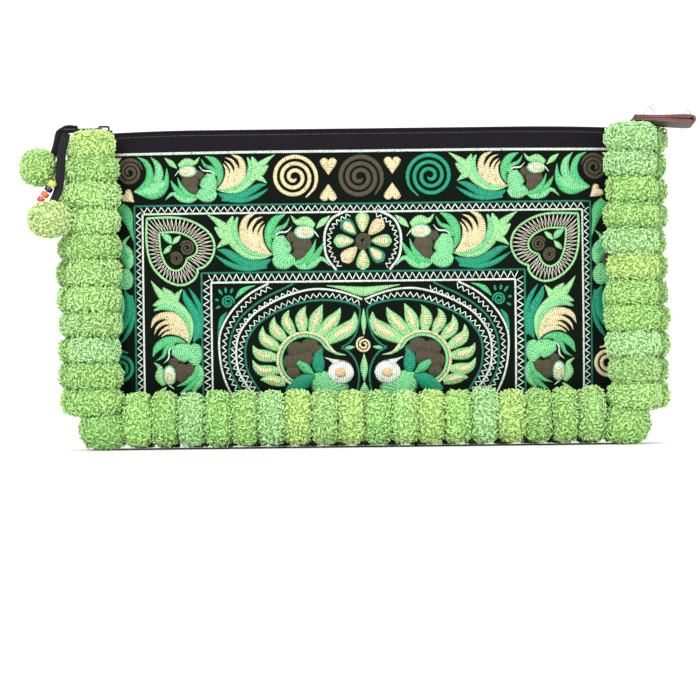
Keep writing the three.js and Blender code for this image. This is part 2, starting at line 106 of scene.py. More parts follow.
BEAD_PITCH = 3.4
BEAD_SIDES = 18
BEAD_RING = 14
CORE_RINGS = 13
CORE_SIDES = 16
CORE_SIZE = 0.93
TOUCH = 0.9
FRAME_LOW = 42.0
FRAME_PITCH = 7.0
HEART_STITCHES = 48
FIRST_STITCH_SEED = 11
PHOTO_MIDDLE = 364
PHOTO_FLOOR = 446.5
PHOTO_LEAN = 0.012
OVER_Y = np.array([0.0, 1.0, 0.0])

Array = np.ndarray


class Thread(Enum):
    """Embroidery silks, as the eye sees them (sRGB, 0 to 1)."""

    WHITE = (0.90, 0.95, 0.90)
    MINT = (0.51, 0.85, 0.58)
    LIME = (0.61, 0.87, 0.58)
    GREEN = (0.34, 0.77, 0.48)
    TEAL = (0.04, 0.60, 0.45)
    PINE = (0.03, 0.47, 0.37)
    CREAM = (0.92, 0.85, 0.66)
    ROSE = (0.97, 0.84, 0.76)
    BROWN = (0.30, 0.27, 0.19)
    AMBER = (0.96, 0.80, 0.62)


def linear(colour: tuple[float, ...] | Array) -> Array:
    """Linear light of an sRGB colour: ((c + 0.055) / 1.055) ** 2.4, and c / 12.92 below 0.04.

    Args:
        colour: channels from 0 to 1.

    Returns:
        The same channels in linear light.
    """
    c = np.asarray(colour, float)
    return np.where(c > 0.04045, ((c + 0.055) / 1.055) ** 2.4, c / 12.92)


def ease(share: Array) -> Array:
    """1 - (1 - s)^2 with s held between 0 and 1.

    Args:
        share: the run covered so far.

    Returns:
        The eased share.
    """
    return 1 - (1 - np.clip(share, 0, 1)) ** 2


def smoothstep(value: Array, low: float, high: float) -> Array:
    """s * s * (3 - 2 s) with s = (value - low) / (high - low) held between 0 and 1.

    Args:
        value: what is eased.
        low: where it starts.
        high: where it ends.

    Returns:
        The eased share.
    """
    s = np.clip((value - low) / (high - low), 0, 1)
    return s * s * (3 - 2 * s)


def top_edge(x: Array) -> Array:
    """Height of the pouch's top edge: 165 - 1.8 * ((|x| - 80) / 64)^2 beyond 80 mm from the middle.

    Args:
        x: distance from the middle line.

    Returns:
        The height in millimetres.
    """
    return BODY_TOP - END_SAG * np.clip((np.abs(x) - SAG_START) / (BODY_HALF_WIDTH - SAG_START), 0, 1) ** 2


def half_depth(x: Array, z: Array) -> Array:
    """Distance of the cloth's outer face from the seam plane: a seam, a full belly and a narrow mouth.

    Args:
        x: distance from the middle line.
        z: height.

    Returns:
        seam + (belly - seam) * side * bottom * below + (mouth - seam) * ends * (1 - below).
    """
    seam = CLOTH + CLEARANCE / 2
    from_side = BODY_HALF_WIDTH - SIDE_SEAM - np.abs(x)
    below = smoothstep(BODY_TOP - z, 0, TOP_RUN)
    bottom = ease((z - BODY_BOTTOM - BOTTOM_SEAM) / BOTTOM_RUN)
    belly = (BELLY_HALF_DEPTH - seam) * ease(from_side / SIDE_RUN) * bottom * below
    mouth = (MOUTH_HALF_DEPTH - seam) * ease(from_side / MOUTH_RUN) * (1 - below)
    return seam + belly + mouth


def direction(vectors: Array) -> Array:
    """Vectors scaled to length 1.

    Args:
        vectors: (..., n).

    Returns:
        v / (|v| + 1e-9).
    """
    return vectors / (np.linalg.norm(vectors, axis=-1)[..., None] + 1e-9)


def distance(points: Array) -> Array:
    """Distance run along a line at each of its points.

    Args:
        points: (m, n).

    Returns:
        (m,) from 0.
    """
    return np.concatenate([[0], np.cumsum(np.linalg.norm(np.diff(points, axis=0), axis=1))])


def left_of(run: Array) -> Array:
    """Directions turned a quarter to the left: (-v, u).

    Args:
        run: (n, 2).

    Returns:
        (n, 2).
    """
    return np.stack([-run[:, 1], run[:, 0]], 1)


def smooth_path(rows: list | Array, step: float) -> Array:
    """Even points along a Catmull-Rom curve through the rows, with any further columns carried along.

    Args:
        rows: control rows, whose first columns are the position.
        step: distance between points, along the first two columns.

    Returns:
        The points, at least four of them.
    """
    p = np.asarray(rows, float)
    ends = np.vstack([2 * p[0] - p[1], p, 2 * p[-1] - p[-2]])
    t = np.linspace(0, len(p) - 1, 24 * (len(p) - 1) + 1)
    i = np.minimum(t.astype(int), len(p) - 2)
    f = (t - i)[:, None]
    a, b, c, d = ends[i], ends[i + 1], ends[i + 2], ends[i + 3]
    dense = 0.5 * (2 * b + (c - a) * f + (2 * a - 5 * b + 4 * c - d) * f**2 + (3 * b - a - 3 * c + d) * f**3)
    run = distance(dense[:, :2])
    at = np.linspace(0, run[-1], max(4, int(round(run[-1] / step)) + 1))
    return np.stack([np.interp(at, run, column) for column in dense.T], axis=1)


def smooth_route(rows: tuple, step: float = 0.4) -> Array:
    """Points along a smooth curve through places in space, evenly spaced in the front view.

    Args:
        rows: (x, y, z).
        step: distance between points.

    Returns:
        (n, 3).
    """
    return smooth_path(np.asarray(rows, float)[:, [0, 2, 1]], step)[:, [0, 2, 1]]


@dataclass
class Patch:
    """A closed surface: points in millimetres, quads, a tint and map coordinates at each point."""

    points: Array
    faces: Array
    tint: Array
    uv: Array


def tube_faces(stations: int, ring: int, tubes: int = 1) -> Array:
    """Quads of closed tubes whose rings follow each other, with quads over both ends.

    Args:
        stations: rings of one tube.
        ring: points of one ring, an even number.
        tubes: how many tubes follow each other in the point list.

    Returns:
        Quads (i, j), (i + 1, j), (i + 1, j + 1), (i, j + 1) and the two caps of each tube.
    """
    i, j = np.meshgrid(np.arange(stations - 1), np.arange(ring), indexing="ij")
    k = (j + 1) % ring
    sides = np.stack([i * ring + j, (i + 1) * ring + j, (i + 1) * ring + k, i * ring + k], -1).reshape(-1, 4)
    fan = np.arange(1, ring - 1, 2)
    cap = np.stack([np.zeros_like(fan), fan, fan + 1, fan + 2], -1)
    end = cap[:, ::-1] + (stations - 1) * ring
    one = np.vstack([sides, cap, end])
    return (one[None] + (np.arange(tubes) * stations * ring)[:, None, None]).reshape(-1, 4)


def wall(outer: Array, inner: Array, tint: Array) -> Patch:
    """A closed wall between two grids of points.

    Args:
        outer: grid (columns, rows, 3) of the face that is seen.
        inner: grid of the same size behind it.
        tint: one colour.

    Returns:
        The wall as rings that run up the outer face and down the inner one.
    """
    rings = np.concatenate([outer, inner[:, ::-1]], axis=1)
    n, ring = rings.shape[:2]
    points = rings.reshape(-1, 3)
    return Patch(points, tube_faces(n, ring), np.tile(tint, (len(points), 1)), points[:, [0, 2]])


class Made:
    """Makes Blender meshes of patches and keeps every piece on the pouch's body."""

    shift = (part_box("front_panel")[0].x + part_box("front_panel")[1].x) / 2

    @classmethod
    def piece(
        cls, name: str, patches: list[Patch], finish: "Finish", slot: str, nodes: tuple = ()
    ) -> bpy.types.Object:
        """Joins patches into one object.

        Args:
            name: the object's name.
            patches: what it is made of.
            finish: its material.
            slot: the record's material slot; not used.
            nodes: CAD nodes that it stands for.

        Returns:
            The object, riding on the body.
        """
        counts = np.cumsum([0] + [len(p.points) for p in patches])
        points = np.vstack([p.points for p in patches]) * MM
        points[:, 0] += cls.shift
        faces = np.vstack([p.faces + first for p, first in zip(patches, counts)])
        mesh = bpy.data.meshes.new(name)
        mesh.vertices.add(len(points))
        mesh.vertices.foreach_set("co", points.astype(np.float32).ravel())
        mesh.loops.add(faces.size)
        mesh.loops.foreach_set("vertex_index", faces.astype(np.int32).ravel())
        mesh.polygons.add(len(faces))
        mesh.polygons.foreach_set("loop_start", np.arange(0, faces.size, 4, dtype=np.int32))
        mesh.polygons.foreach_set("use_smooth", np.ones(len(faces), bool))
        tint = np.vstack([p.tint for p in patches])
        colours = mesh.color_attributes.new("tint", "FLOAT_COLOR", "POINT")
        opaque = np.hstack([tint, np.ones((len(tint), 1))])
        colours.data.foreach_set("color", opaque.astype(np.float32).ravel())
        uv = np.vstack([p.uv for p in patches])[faces.ravel()]
        mesh.uv_layers.new(name="UVMap").data.foreach_set("uv", uv.astype(np.float32).ravel())
        mesh.update(calc_edges=True)
        mesh.validate()
        mesh.materials.append(finish.material())
        piece = bpy.data.objects.new(name, mesh)
        bpy.context.collection.objects.link(piece)
        if nodes:
            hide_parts(*nodes)
        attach(piece, "root")
        log.info("%s: %d triangles", name, 2 * len(faces))
        return piece


class Shader:
    """A node material under construction."""

    def __init__(self, name: str) -> None:
        """Starts a material.

        Args:
            name: the material's name.
        """
        self.made = bpy.data.materials.new(name)
        self.made.use_nodes = True
        self.tree = self.made.node_tree
        self.surface = self.tree.nodes["Principled BSDF"]

    def node(self, kind: str, settings: dict | None = None, **inputs: object) -> bpy.types.Node:
        """Adds a node.

        Args:
            kind: its type.
            settings: properties of the node.
            inputs: values or expressions, by input name with underscores for spaces, or by number as i0.

        Returns:
            The node.
        """
        made = self.tree.nodes.new(kind)
        for key, value in (settings or {}).items():
            setattr(made, key, value)
        for key, value in inputs.items():
            socket = made.inputs[int(key[1:])] if key[1:].isdigit() else made.inputs[key.replace("_", " ")]
            self.feed(socket, value)
        return made

    def feed(self, socket: bpy.types.NodeSocket, value: object) -> None:
        """Sets or links one input.

        Args:
            socket: the input.
            value: a number, a colour, or an expression.
        """
        if isinstance(value, Value):
            self.tree.links.new(value.socket, socket)
        else:
            socket.default_value = value

    def attribute(self, name: str) -> "Value":
        """Reads a colour of the mesh.

        Args:
            name: the attribute's name.

        Returns:
            Its colour.
        """
        return Value(self, self.node("ShaderNodeVertexColor", {"layer_name": name}).outputs["Color"])

    def place(self, output: str = "Object") -> "Value":
        """Reads texture coordinates.

        Args:
            output: Object or UV.

        Returns:
            The coordinates.
        """
        return Value(self, self.node("ShaderNodeTexCoord").outputs[output])

    def noise(self, scale: float, detail: float = 2.0) -> "Value":
        """Smooth noise from 0 to 1 over the object's own coordinates.

        Args:
            scale: how fine.
            detail: octaves.

        Returns:
            The noise.
        """
        made = self.node("ShaderNodeTexNoise", Vector=self.place(), Scale=scale, Detail=detail)
        return Value(self, made.outputs["Fac"])

    def mix(self, share: object, low: object, high: object) -> "Value":
        """Mixes two colours.

        Args:
            share: from 0 to 1.
            low: the colour at 0.
            high: the colour at 1.

        Returns:
            The mixed colour.
        """
        made = self.node("ShaderNodeMix", {"data_type": "RGBA"}, i0=share, i6=low, i7=high)
        return Value(self, made.outputs[2])

    def dim(self, colour: object, by: "Value") -> "Value":
        """Multiplies a colour by a number.

        Args:
            colour: the colour.
            by: the number.

        Returns:
            The product.
        """
        settings = {"data_type": "RGBA", "blend_type": "MULTIPLY", "clamp_factor": False}
        return Value(self, self.node("ShaderNodeMix", settings, i0=1.0, i6=colour, i7=by).outputs[2])

    def finish(self, **inputs: object) -> bpy.types.Material:
        """Feeds the surface.

        Args:
            inputs: values of the Principled node, by input name with underscores for spaces.

        Returns:
            The finished material.
        """
        for key, value in inputs.items():
            self.feed(self.surface.inputs[key.replace("_", " ")], value)
        return self.made

    def bump(self, height: "Value", strength: float, distance: float) -> "Value":
        """Turns a height into a surface normal.

        Args:
            height: the height, from 0 to 1.
            strength: from 0 to 1.
            distance: metres at height 1.

        Returns:
            The normal.
        """
        made = self.node("ShaderNodeBump", Strength=strength, Distance=distance, Height=height)
        return Value(self, made.outputs["Normal"])


@dataclass
class Value:
    """A node's output that takes part in Python arithmetic."""

    shader: Shader
    socket: bpy.types.NodeSocket

    def maths(self, operation: str, *others: object) -> "Value":
        """One Math node.

        Args:
            operation: its operation.
            others: its further inputs.

        Returns:
            The result.
        """
        inputs = {f"i{k}": v for k, v in enumerate((self, *others))}
        made = self.shader.node("ShaderNodeMath", {"operation": operation}, **inputs)
        return Value(self.shader, made.outputs[0])

    def __add__(self, other: object) -> "Value":
        """The sum of this value and another."""
        return self.maths("ADD", other)

    def __sub__(self, other: object) -> "Value":
        """This value less another."""
        return self.maths("SUBTRACT", other)

    def __mul__(self, other: object) -> "Value":
        """The product of this value and another."""
        return self.maths("MULTIPLY", other)

    def sine(self) -> "Value":
        """Sine of the value.

        Returns:
            From -1 to 1.
        """
        return self.maths("SINE")

    def split(self) -> tuple["Value", "Value", "Value"]:
        """The three parts of a vector.

        Returns:
            X, Y and Z.
        """
        made = self.shader.node("ShaderNodeSeparateXYZ", Vector=self)
        return tuple(Value(self.shader, out) for out in made.outputs)


class Finish:
    """A material that is made once."""

    made: dict = {}

    def material(self) -> bpy.types.Material:
        """The finish's material.

        Returns:
            The same material at each call.
        """
        key = (type(self).__name__, self)
        if key not in Finish.made:
            Finish.made[key] = self.make()
        return Finish.made[key]


@dataclass(frozen=True)
class Cotton(Finish):
    """Plain woven cloth with a fine grain of threads.

    Attributes:
        name: the material's name.
        colour: sRGB.
        pitch: millimetres from thread to thread.
        gloss: specular level.
    """

    name: str = "black_cotton"
    colour: tuple = (0.085, 0.075, 0.095)
    pitch: float = 0.55
    gloss: float = 0.15

    def make(self) -> bpy.types.Material:
        """Makes the material.

        Returns:
            Crossed sine waves for the weave, and a low cloud for wear.
        """
        shader = Shader(self.name)
        x, _, z = shader.place().split()
        turns = 2 * math.pi / (self.pitch * MM)
        weave = (x * turns).sine() * (z * turns).sine() * 0.5 + 0.5
        cloud = shader.noise(60.0) * 0.5 + 0.75
        shade = cloud * (weave * 0.35 + 0.8)
        colour = shader.dim((*linear(self.colour), 1.0), shade)
        normal = shader.bump(weave, 0.4, 0.0003)
        return shader.finish(Base_Color=colour, Roughness=0.95, Specular_IOR_Level=self.gloss, Normal=normal)


@dataclass(frozen=True)
class Silk(Finish):
    """Satin-stitched silk whose stitches lie across the shape.

    Attributes:
        name: the material's name.
        pitch: chart units from stitch to stitch.
    """

    name: str = "satin_stitch"
    pitch: float = 2.1

    def make(self) -> bpy.types.Material:
        """Makes the material.

        Returns:
            Ridges along the stitches, with painted shade darkening the valleys between them, and small dark
            specks where the cloth shows between them.
        """
        shader = Shader(self.name)
        along, _, _ = shader.place("UV").split()
        wander = shader.noise(900.0)
        ridges = (along * (2 * math.pi / self.pitch) + wander * 4.0).sine() * 0.5 + 0.5
        specks = shader.noise(1500.0, 1.0)
        gaps = (specks * 5.0 - 1.3).maths("MINIMUM", 1.0).maths("MAXIMUM", 0.42)
        # Painted shade: the tint falls to half in the valleys between ridges; the specks are cloth showing
        # through.
        shade = gaps * (ridges * 0.5 + 0.5)
        colour = shader.dim(shader.attribute("tint"), shade)
        normal = shader.bump(ridges, 0.5, 0.00025)
        return shader.finish(
            Base_Color=colour, Roughness=0.6, Specular_IOR_Level=0.3, Sheen_Weight=0.04, Normal=normal
        )


@dataclass(frozen=True)
class Yarn(Finish):
    """Acrylic yarn of the pompoms, whose tint comes from the mesh.

    Attributes:
        name: the material's name.
    """

    name: str = "pompom_yarn"

    def make(self) -> bpy.types.Material:
        """Makes the material.

        Returns:
            A soft twist along each strand of yarn.
        """
        shader = Shader(self.name)
        along, across, _ = shader.place("UV").split()
        twist = (along * 9.0 + across * 6.28).sine() * 0.5 + 0.5
        curls = shader.noise(700.0, 2.0)
        colour = shader.dim(shader.attribute("tint"), twist * 0.1 + curls * 1.3 + 0.26)
        normal = shader.bump(twist * 0.4 + curls, 0.6, 0.0006)
        return shader.finish(Base_Color=colour, Roughness=0.85, Sheen_Weight=0.25, Normal=normal)


@dataclass(frozen=True)
class Leather(Finish):
    """Thin soft leather whose tint comes from the mesh: brown at the cut edges, with the faces darkened to
    near black as painted shade of the underside.

    Attributes:
        name: the material's name.
    """

    name: str = "brown_leather"

    def make(self) -> bpy.types.Material:
        """Makes the material.

        Returns:
            A pebbled skin with a low cloud of wear.
        """
        shader = Shader(self.name)
        pebbles = shader.noise(1400.0, 3.0)
        wear = shader.noise(180.0) * 0.9 + 0.55
        colour = shader.dim(shader.attribute("tint"), wear)
        normal = shader.bump(pebbles, 0.35, 0.0003)
        return shader.finish(Base_Color=colour, Roughness=pebbles * 0.2 + 0.45, Normal=normal)


@dataclass(frozen=True)
class Metal(Finish):
    """Black painted metal.

    Attributes:
        name: the material's name.
        colour: sRGB.
    """

    name: str = "black_metal"
    colour: tuple = (0.11, 0.10, 0.12)

    def make(self) -> bpy.types.Material:
        """Makes the material.

        Returns:
            Enamel with fine scratches in its roughness.
        """
        shader = Shader(self.name)
        rub = shader.noise(700.0, 4.0)
        base = shader.mix(rub, (*linear(self.colour), 1.0), (0.05, 0.05, 0.055, 1.0))
        return shader.finish(Base_Color=base, Metallic=0.7, Roughness=rub * 0.25 + 0.22)


@dataclass(frozen=True)
class Glass(Finish):
    """Glossy glass of one bead.

    Attributes:
        name: the material's name.
        colour: sRGB.
    """

    name: str
    colour: tuple

    def make(self) -> bpy.types.Material:
        """Makes the material.

        Returns:
            Glossy colour with a faint swirl.
        """
        shader = Shader(self.name)
        swirl = shader.noise(500.0)
        dark = tuple(linear(self.colour) * 0.7)
        colour = shader.mix(swirl, (*dark, 1.0), (*linear(self.colour), 1.0))
        return shader.finish(Base_Color=colour, Roughness=0.12, Coat_Weight=0.6, Coat_Roughness=0.05)


@dataclass(frozen=True)
class Studio:
    """Pale floor and backdrop, soft light and the camera.

    Attributes:
        target: what the camera looks at, in millimetres from the middle line and the floor.
        distance: from the camera to the front of the pouch.
        lens: focal length on a 36 mm sensor.
        roll: degrees that the picture leans.
    """

    target: tuple = (-7.3, -9.0, 50.6)
    distance: float = 1800.0
    lens: float = 178.0
    roll: float = -0.69

    def camera(self) -> None:
        """Looks level along +Y, rolled as in the photo."""
        data = bpy.data.cameras.new("camera")
        data.lens = self.lens
        data.sensor_width = 36.0
        data.clip_end = 30.0
        camera = bpy.data.objects.new("camera", data)
        bpy.context.collection.objects.link(camera)
        x, y, z = self.target
        camera.location = (x * MM + Made.shift, (y - self.distance) * MM, z * MM)
        level = Euler((math.radians(90), 0, 0)).to_matrix()
        lean = Euler((0, 0, math.radians(self.roll))).to_matrix()
        camera.rotation_euler = (level @ lean).to_euler()
        bpy.context.scene.camera = camera

    def backdrop(self) -> None:
        """One sweep of paper: profile flat, then a quarter round of 0.6 m, then upright, drawn 6 m wide."""
        angle = np.linspace(0, math.pi / 2, 24)
        bend = np.stack([1.4 + 0.6 * np.sin(angle), 0.6 - 0.6 * np.cos(angle)], 1)
        profile = np.vstack([[-4.0, 0.0], bend, [2.0, 4.0]])
        rows = len(profile)
        sides = np.array([-3.0, 3.0])
        points = np.array([(x, y, z) for x in sides for y, z in profile])
        k = np.arange(rows - 1)
        mesh = bpy.data.meshes.new("backdrop")
        mesh.from_pydata(points.tolist(), [], np.stack([k + 1, k, k + rows, k + rows + 1], 1).tolist())
        mesh.polygons.foreach_set("use_smooth", np.ones(len(mesh.polygons), bool))
        shader = Shader("paper")
        grain = shader.noise(3.0)
        tone = shader.mix(grain, (0.90, 0.90, 0.90, 1.0), (0.92, 0.92, 0.92, 1.0))
        mesh.materials.append(shader.finish(Base_Color=tone, Roughness=0.9))
        paper = bpy.data.objects.new("backdrop", mesh)
        bpy.context.collection.objects.link(paper)

    def light(self) -> None:
        """A large soft key, a fill and an even sky."""
        world = bpy.data.worlds.new("sky")
        world.use_nodes = True
        sky = world.node_tree.nodes["Background"]
        sky.inputs["Color"].default_value = (1.0, 1.0, 1.0, 1.0)
        sky.inputs["Strength"].default_value = 0.88
        bpy.context.scene.world = world
        lamps = (
            ("key", (-0.8, -2.0, 1.3), 1.0, 40.0), ("fill", (1.3, -1.7, 0.8), 1.2, 16.0),
            ("top", (0.1, 0.5, 2.0), 1.2, 12.0),
        )
        for name, place, size, power in lamps:
            data = bpy.data.lights.new(name, "AREA")
            data.shape = "DISK"
            data.size = size
            data.energy = power
            lamp = bpy.data.objects.new(name, data)
            lamp.location = place
            aim = Vector((0, 0, 0.08)) - Vector(place)
            lamp.rotation_euler = aim.to_track_quat("-Z", "Y").to_euler()
            bpy.context.collection.objects.link(lamp)
        bpy.context.scene.view_settings.view_transform = "Standard"

    def build(self) -> None:
        """Makes the whole studio."""
        self.backdrop()
        self.light()


@dataclass(frozen=True)
class ClothWalls:
    """The two panels and their top bands.

    Attributes:
        columns: steps across.
        rows: steps up a panel.
    """

    columns: int = 96
    rows: int = 48

    def sheet(self, face: int, low: float, high: float | None, rows: int) -> Patch:
        """One wall: x across the pouch, z from low to high, y = face * half_depth(x, z).

        Args:
            face: -1 in front and 1 behind.
            low: height of the lower edge.
            high: height of the upper edge, or None for the pouch's top edge.
            rows: steps up.

        Returns:
            The closed wall.
        """
        u = np.linspace(-1, 1, self.columns + 1)
        x = BODY_HALF_WIDTH * (0.75 * u + 0.25 * np.sin(u * math.pi / 2))
        upper = top_edge(x) if high is None else np.full_like(x, high)
        z = low + (upper - low)[:, None] * np.linspace(0, 1, rows + 1)[None]
        grid = np.broadcast_to(x[:, None], z.shape)
        depth = half_depth(grid, z)
        ripple = 0.18 * np.sin(grid * 0.21 + z * 0.05) * np.sin(z * 0.13) * smoothstep(depth, 3, 8)
        outer = np.stack([grid, face * (depth + ripple), z], -1)
        inner = np.stack([grid, face * (depth - CLOTH), z], -1)
        outer, inner = (outer, inner) if face < 0 else (outer[::-1], inner[::-1])
        return wall(outer, inner, linear((0.135, 0.12, 0.145)))

    def build(self) -> None:
        """Makes both panels and both bands."""
        top = BODY_TOP - BAND_HEIGHT
        for face, word in ((-1, "front"), (1, "back")):
            panel = self.sheet(face, BODY_BOTTOM, top, self.rows)
            ground = Cotton("embroidery_ground", (0.05, 0.075, 0.055), 0.7, 0.05) if face < 0 else Cotton()
            Made.piece(f"cloth_panel_{word}", [panel], ground, "black_cotton", (f"{word}_panel",))
            band = self.sheet(face, top + 0.1, None, 6)
            Made.piece(f"cloth_band_{word}", [band], Cotton(), "black_cotton", (f"{word}_top_band",))


def oval(
    x: float, z: float, half_length: float, half_height: float, count: int = 7, least: float = 0.01
) -> Array:
    """Rows of an oval: half width b * sqrt(1 - s^2) along a straight line of half length a.

    Args:
        x: centre.
        z: centre.
        half_length: a.
        half_height: b.
        count: rows.
        least: what 1 - s^2 doesn't fall below.

    Returns:
        (count, 3) of x, z and half width.
    """
    s = np.sin(np.linspace(-1, 1, count) * math.pi / 2)
    width = half_height * np.sqrt(np.clip(1 - s * s, least, 1))
    return np.stack([x + half_length * s, np.full(count, z), width], 1)


@dataclass
class Needle:
    """Lays satin stitches on the front panel, in chart units.

    Attributes:
        patches: what has been stitched so far.
        seed: of the small differences in tint.
    """

    seed: int = 3

    def __post_init__(self) -> None:
        """Starts with no stitches."""
        self.patches: list[Patch] = []
        self.rng = np.random.default_rng(self.seed)

    def lay(self, u: Array, v: Array, height: Array) -> Array:
        """Chart to cloth: x = 0.52 u, z = 0.52 v, y = -(half depth) - height.

        Args:
            u: chart units to the right of the middle line.
            v: chart units above the floor.
            height: millimetres off the cloth.

        Returns:
            Points in millimetres.
        """
        x, z = UNIT * np.asarray(u), UNIT * np.asarray(v)
        return np.stack([x, -half_depth(x, z) - height, z], -1)

    def satin(
        self, rows: Array, thread: Thread, lift: float = 0.0, rise: float = 0.75, step: float = 1.3
    ) -> None:
        """One satin shape: a domed section carried along a curve, wide where the rows say.

        Args:
            rows: (u, v, half width) along the shape.
            thread: its silk.
            lift: millimetres that it stands over the cloth.
            rise: height of its dome.
            step: chart units between sections.
        """
        line = smooth_path(rows, step)
        half = np.clip(line[:, 2], 0.22, None)
        side = left_of(direction(np.gradient(line[:, :2], axis=0)))
        across = np.array([-1.0, -0.75, 0.0, 0.75, 1.0, 0.0])
        up = np.array([-0.1, 0.72, 1.0, 0.72, -0.1, -0.35])
        ring = line[:, None, :2] + side[:, None] * half[:, None, None] * across[None, :, None]
        dome = np.minimum(rise, 0.16 + 0.3 * half)[:, None] * up[None]
        points = self.lay(ring[..., 0], ring[..., 1], lift * (up > 0) + dome).reshape(-1, 3)
        base = linear(thread.value) * self.rng.uniform(0.93, 1.07)
        # Tint round each ring: dark at the dome's two edges, partly the dark outline stitch and partly
        # painted shade, and brightest on top as a painted highlight.
        shade = np.array([0.35, 0.92, 1.05, 0.92, 0.35, 0.3])
        tint = np.broadcast_to(base * shade[:, None], (len(line), 6, 3)).reshape(-1, 3)
        along = np.arange(len(line)) * step
        uv = np.stack([np.repeat(along, 6), (half[:, None] * across[None]).ravel()], 1)
        self.patches.append(Patch(points, tube_faces(len(line), 6), tint, uv))

    def disc(self, u: float, v: float, ru: float, rv: float, thread: Thread, lift: float = 0.0) -> None:
        """A filled oval.

        Args:
            u: centre.
            v: centre.
            ru: half length.
            rv: half height.
            thread: its silk.
            lift: millimetres over the cloth.
        """
        self.satin(oval(u, v, ru, rv, 9, 0.004), thread, lift, 0.8)

    def spiral(
        self, u: float, v: float, radius: float, turns: float, half: float, thread: Thread, start: float,
        hand: int,
    ) -> None:
        """A coiled cord: r = half + (radius - 2 half) * s, turning from the start angle.

        Args:
            u: centre.
            v: centre.
            radius: outer radius.
            turns: how many.
            half: half width of the band.
            thread: its silk.
            start: angle of the outer end, in degrees.
            hand: 1 or -1, the way it turns.
        """
        s = np.linspace(0, 1, int(10 * turns) + 2)
        r = half + (radius - 2 * half) * s
        angle = math.radians(start) + hand * 2 * math.pi * turns * (1 - s)
        width = half * np.clip(np.minimum(s * 9, (1 - s) * 14) + 0.35, 0, 1)
        self.satin(np.stack([u + r * np.cos(angle), v + r * np.sin(angle), width], 1), thread, 0, 0.8)

    def line(self, rows: list | Array, thread: Thread, half: float = 1.15) -> None:
        """A couched cord of even width along a curve.

        Args:
            rows: (u, v) along it.
            thread: its silk.
            half: half width.
        """
        p = np.asarray(rows, float)
        self.satin(np.hstack([p, np.full((len(p), 1), half)]), thread, 0.05, 0.75, 1.6)

    def bars(self, ends: Array, half: float, thread: Thread) -> None:
        """Straight single stitches: square-topped tubes from end to end.

        Args:
            ends: (n, 2, 2) chart positions of both ends.
            half: half width.
            thread: its silk.
        """
        n = len(ends)
        run = ends[:, 1] - ends[:, 0]
        side = left_of(direction(run))
        across = np.array([-1.0, 0.0, 1.0, 0.0])
        up = np.array([0.0, 1.0, 0.0, -1.0])
        share = np.array([0.0, 0.5, 1.0])
        middle = ends[:, None, 0] + run[:, None] * share[None, :, None]
        ring = middle[:, :, None] + side[:, None, None] * (half * across)[None, None, :, None]
        arch = (0.1 + 0.22 * np.sin(share * math.pi))[None, :, None] + (0.32 * up)[None, None]
        points = self.lay(ring[..., 0], ring[..., 1], np.broadcast_to(arch, (n, 3, 4))).reshape(-1, 3)
        shade = np.repeat(self.rng.uniform(0.8, 1.08, n), 12)[:, None]
        tint = linear(thread.value)[None] * shade
        uv = np.tile(np.array([[0.0, 0.0]]), (len(points), 1))
        self.patches.append(Patch(points, tube_faces(3, 4, n), tint, uv))

    def zigzag(self, rows: list | Array, pitch: float, height: float) -> None:
        """White zigzag stitches along a curve, half a pitch to each stitch.

        Args:
            rows: (u, v) along its middle.
            pitch: from peak to peak.
            height: from peak to valley.
        """
        p = smooth_path(rows, pitch / 2)
        side = left_of(direction(np.gradient(p[:, :2], axis=0)))
        sign = np.where(np.arange(len(p)) % 2 == 0, 1.0, -1.0)[:, None]
        corner = p[:, :2] + side * sign * height / 2
        self.bars(np.stack([corner[:-1], corner[1:]], 1), 0.5, Thread.WHITE)


@dataclass(frozen=True)
class Placement:
    """Where a motif lies on the chart.

    Attributes:
        u: chart position of its origin.
        v: chart position of its origin.
        wide: scale along its own first axis.
        tall: scale along its own second axis.
        flip: mirrored before it is turned.
        turn: degrees, anticlockwise.
    """

    u: float
    v: float
    wide: float = 1.0
    tall: float = 1.0
    flip: bool = False
    turn: float = 0.0

    def move(self, rows: Array, side: int) -> Array:
        """Places rows of (x, z, half width) on the right or the mirrored left half.

        Args:
            rows: the motif's own rows.
            side: 1 as placed, -1 mirrored about the middle line.

        Returns:
            Rows in chart units.
        """
        p = np.asarray(rows, float)
        x = p[:, 0] * self.wide * (-1 if self.flip else 1)
        z = p[:, 1] * self.tall
        c, s = math.cos(math.radians(self.turn)), math.sin(math.radians(self.turn))
        u = (self.u + c * x - s * z) * side
        size = math.sqrt(self.wide * self.tall)
        return np.stack([u, self.v + s * x + c * z, p[:, 2] * size * 1.1], 1)


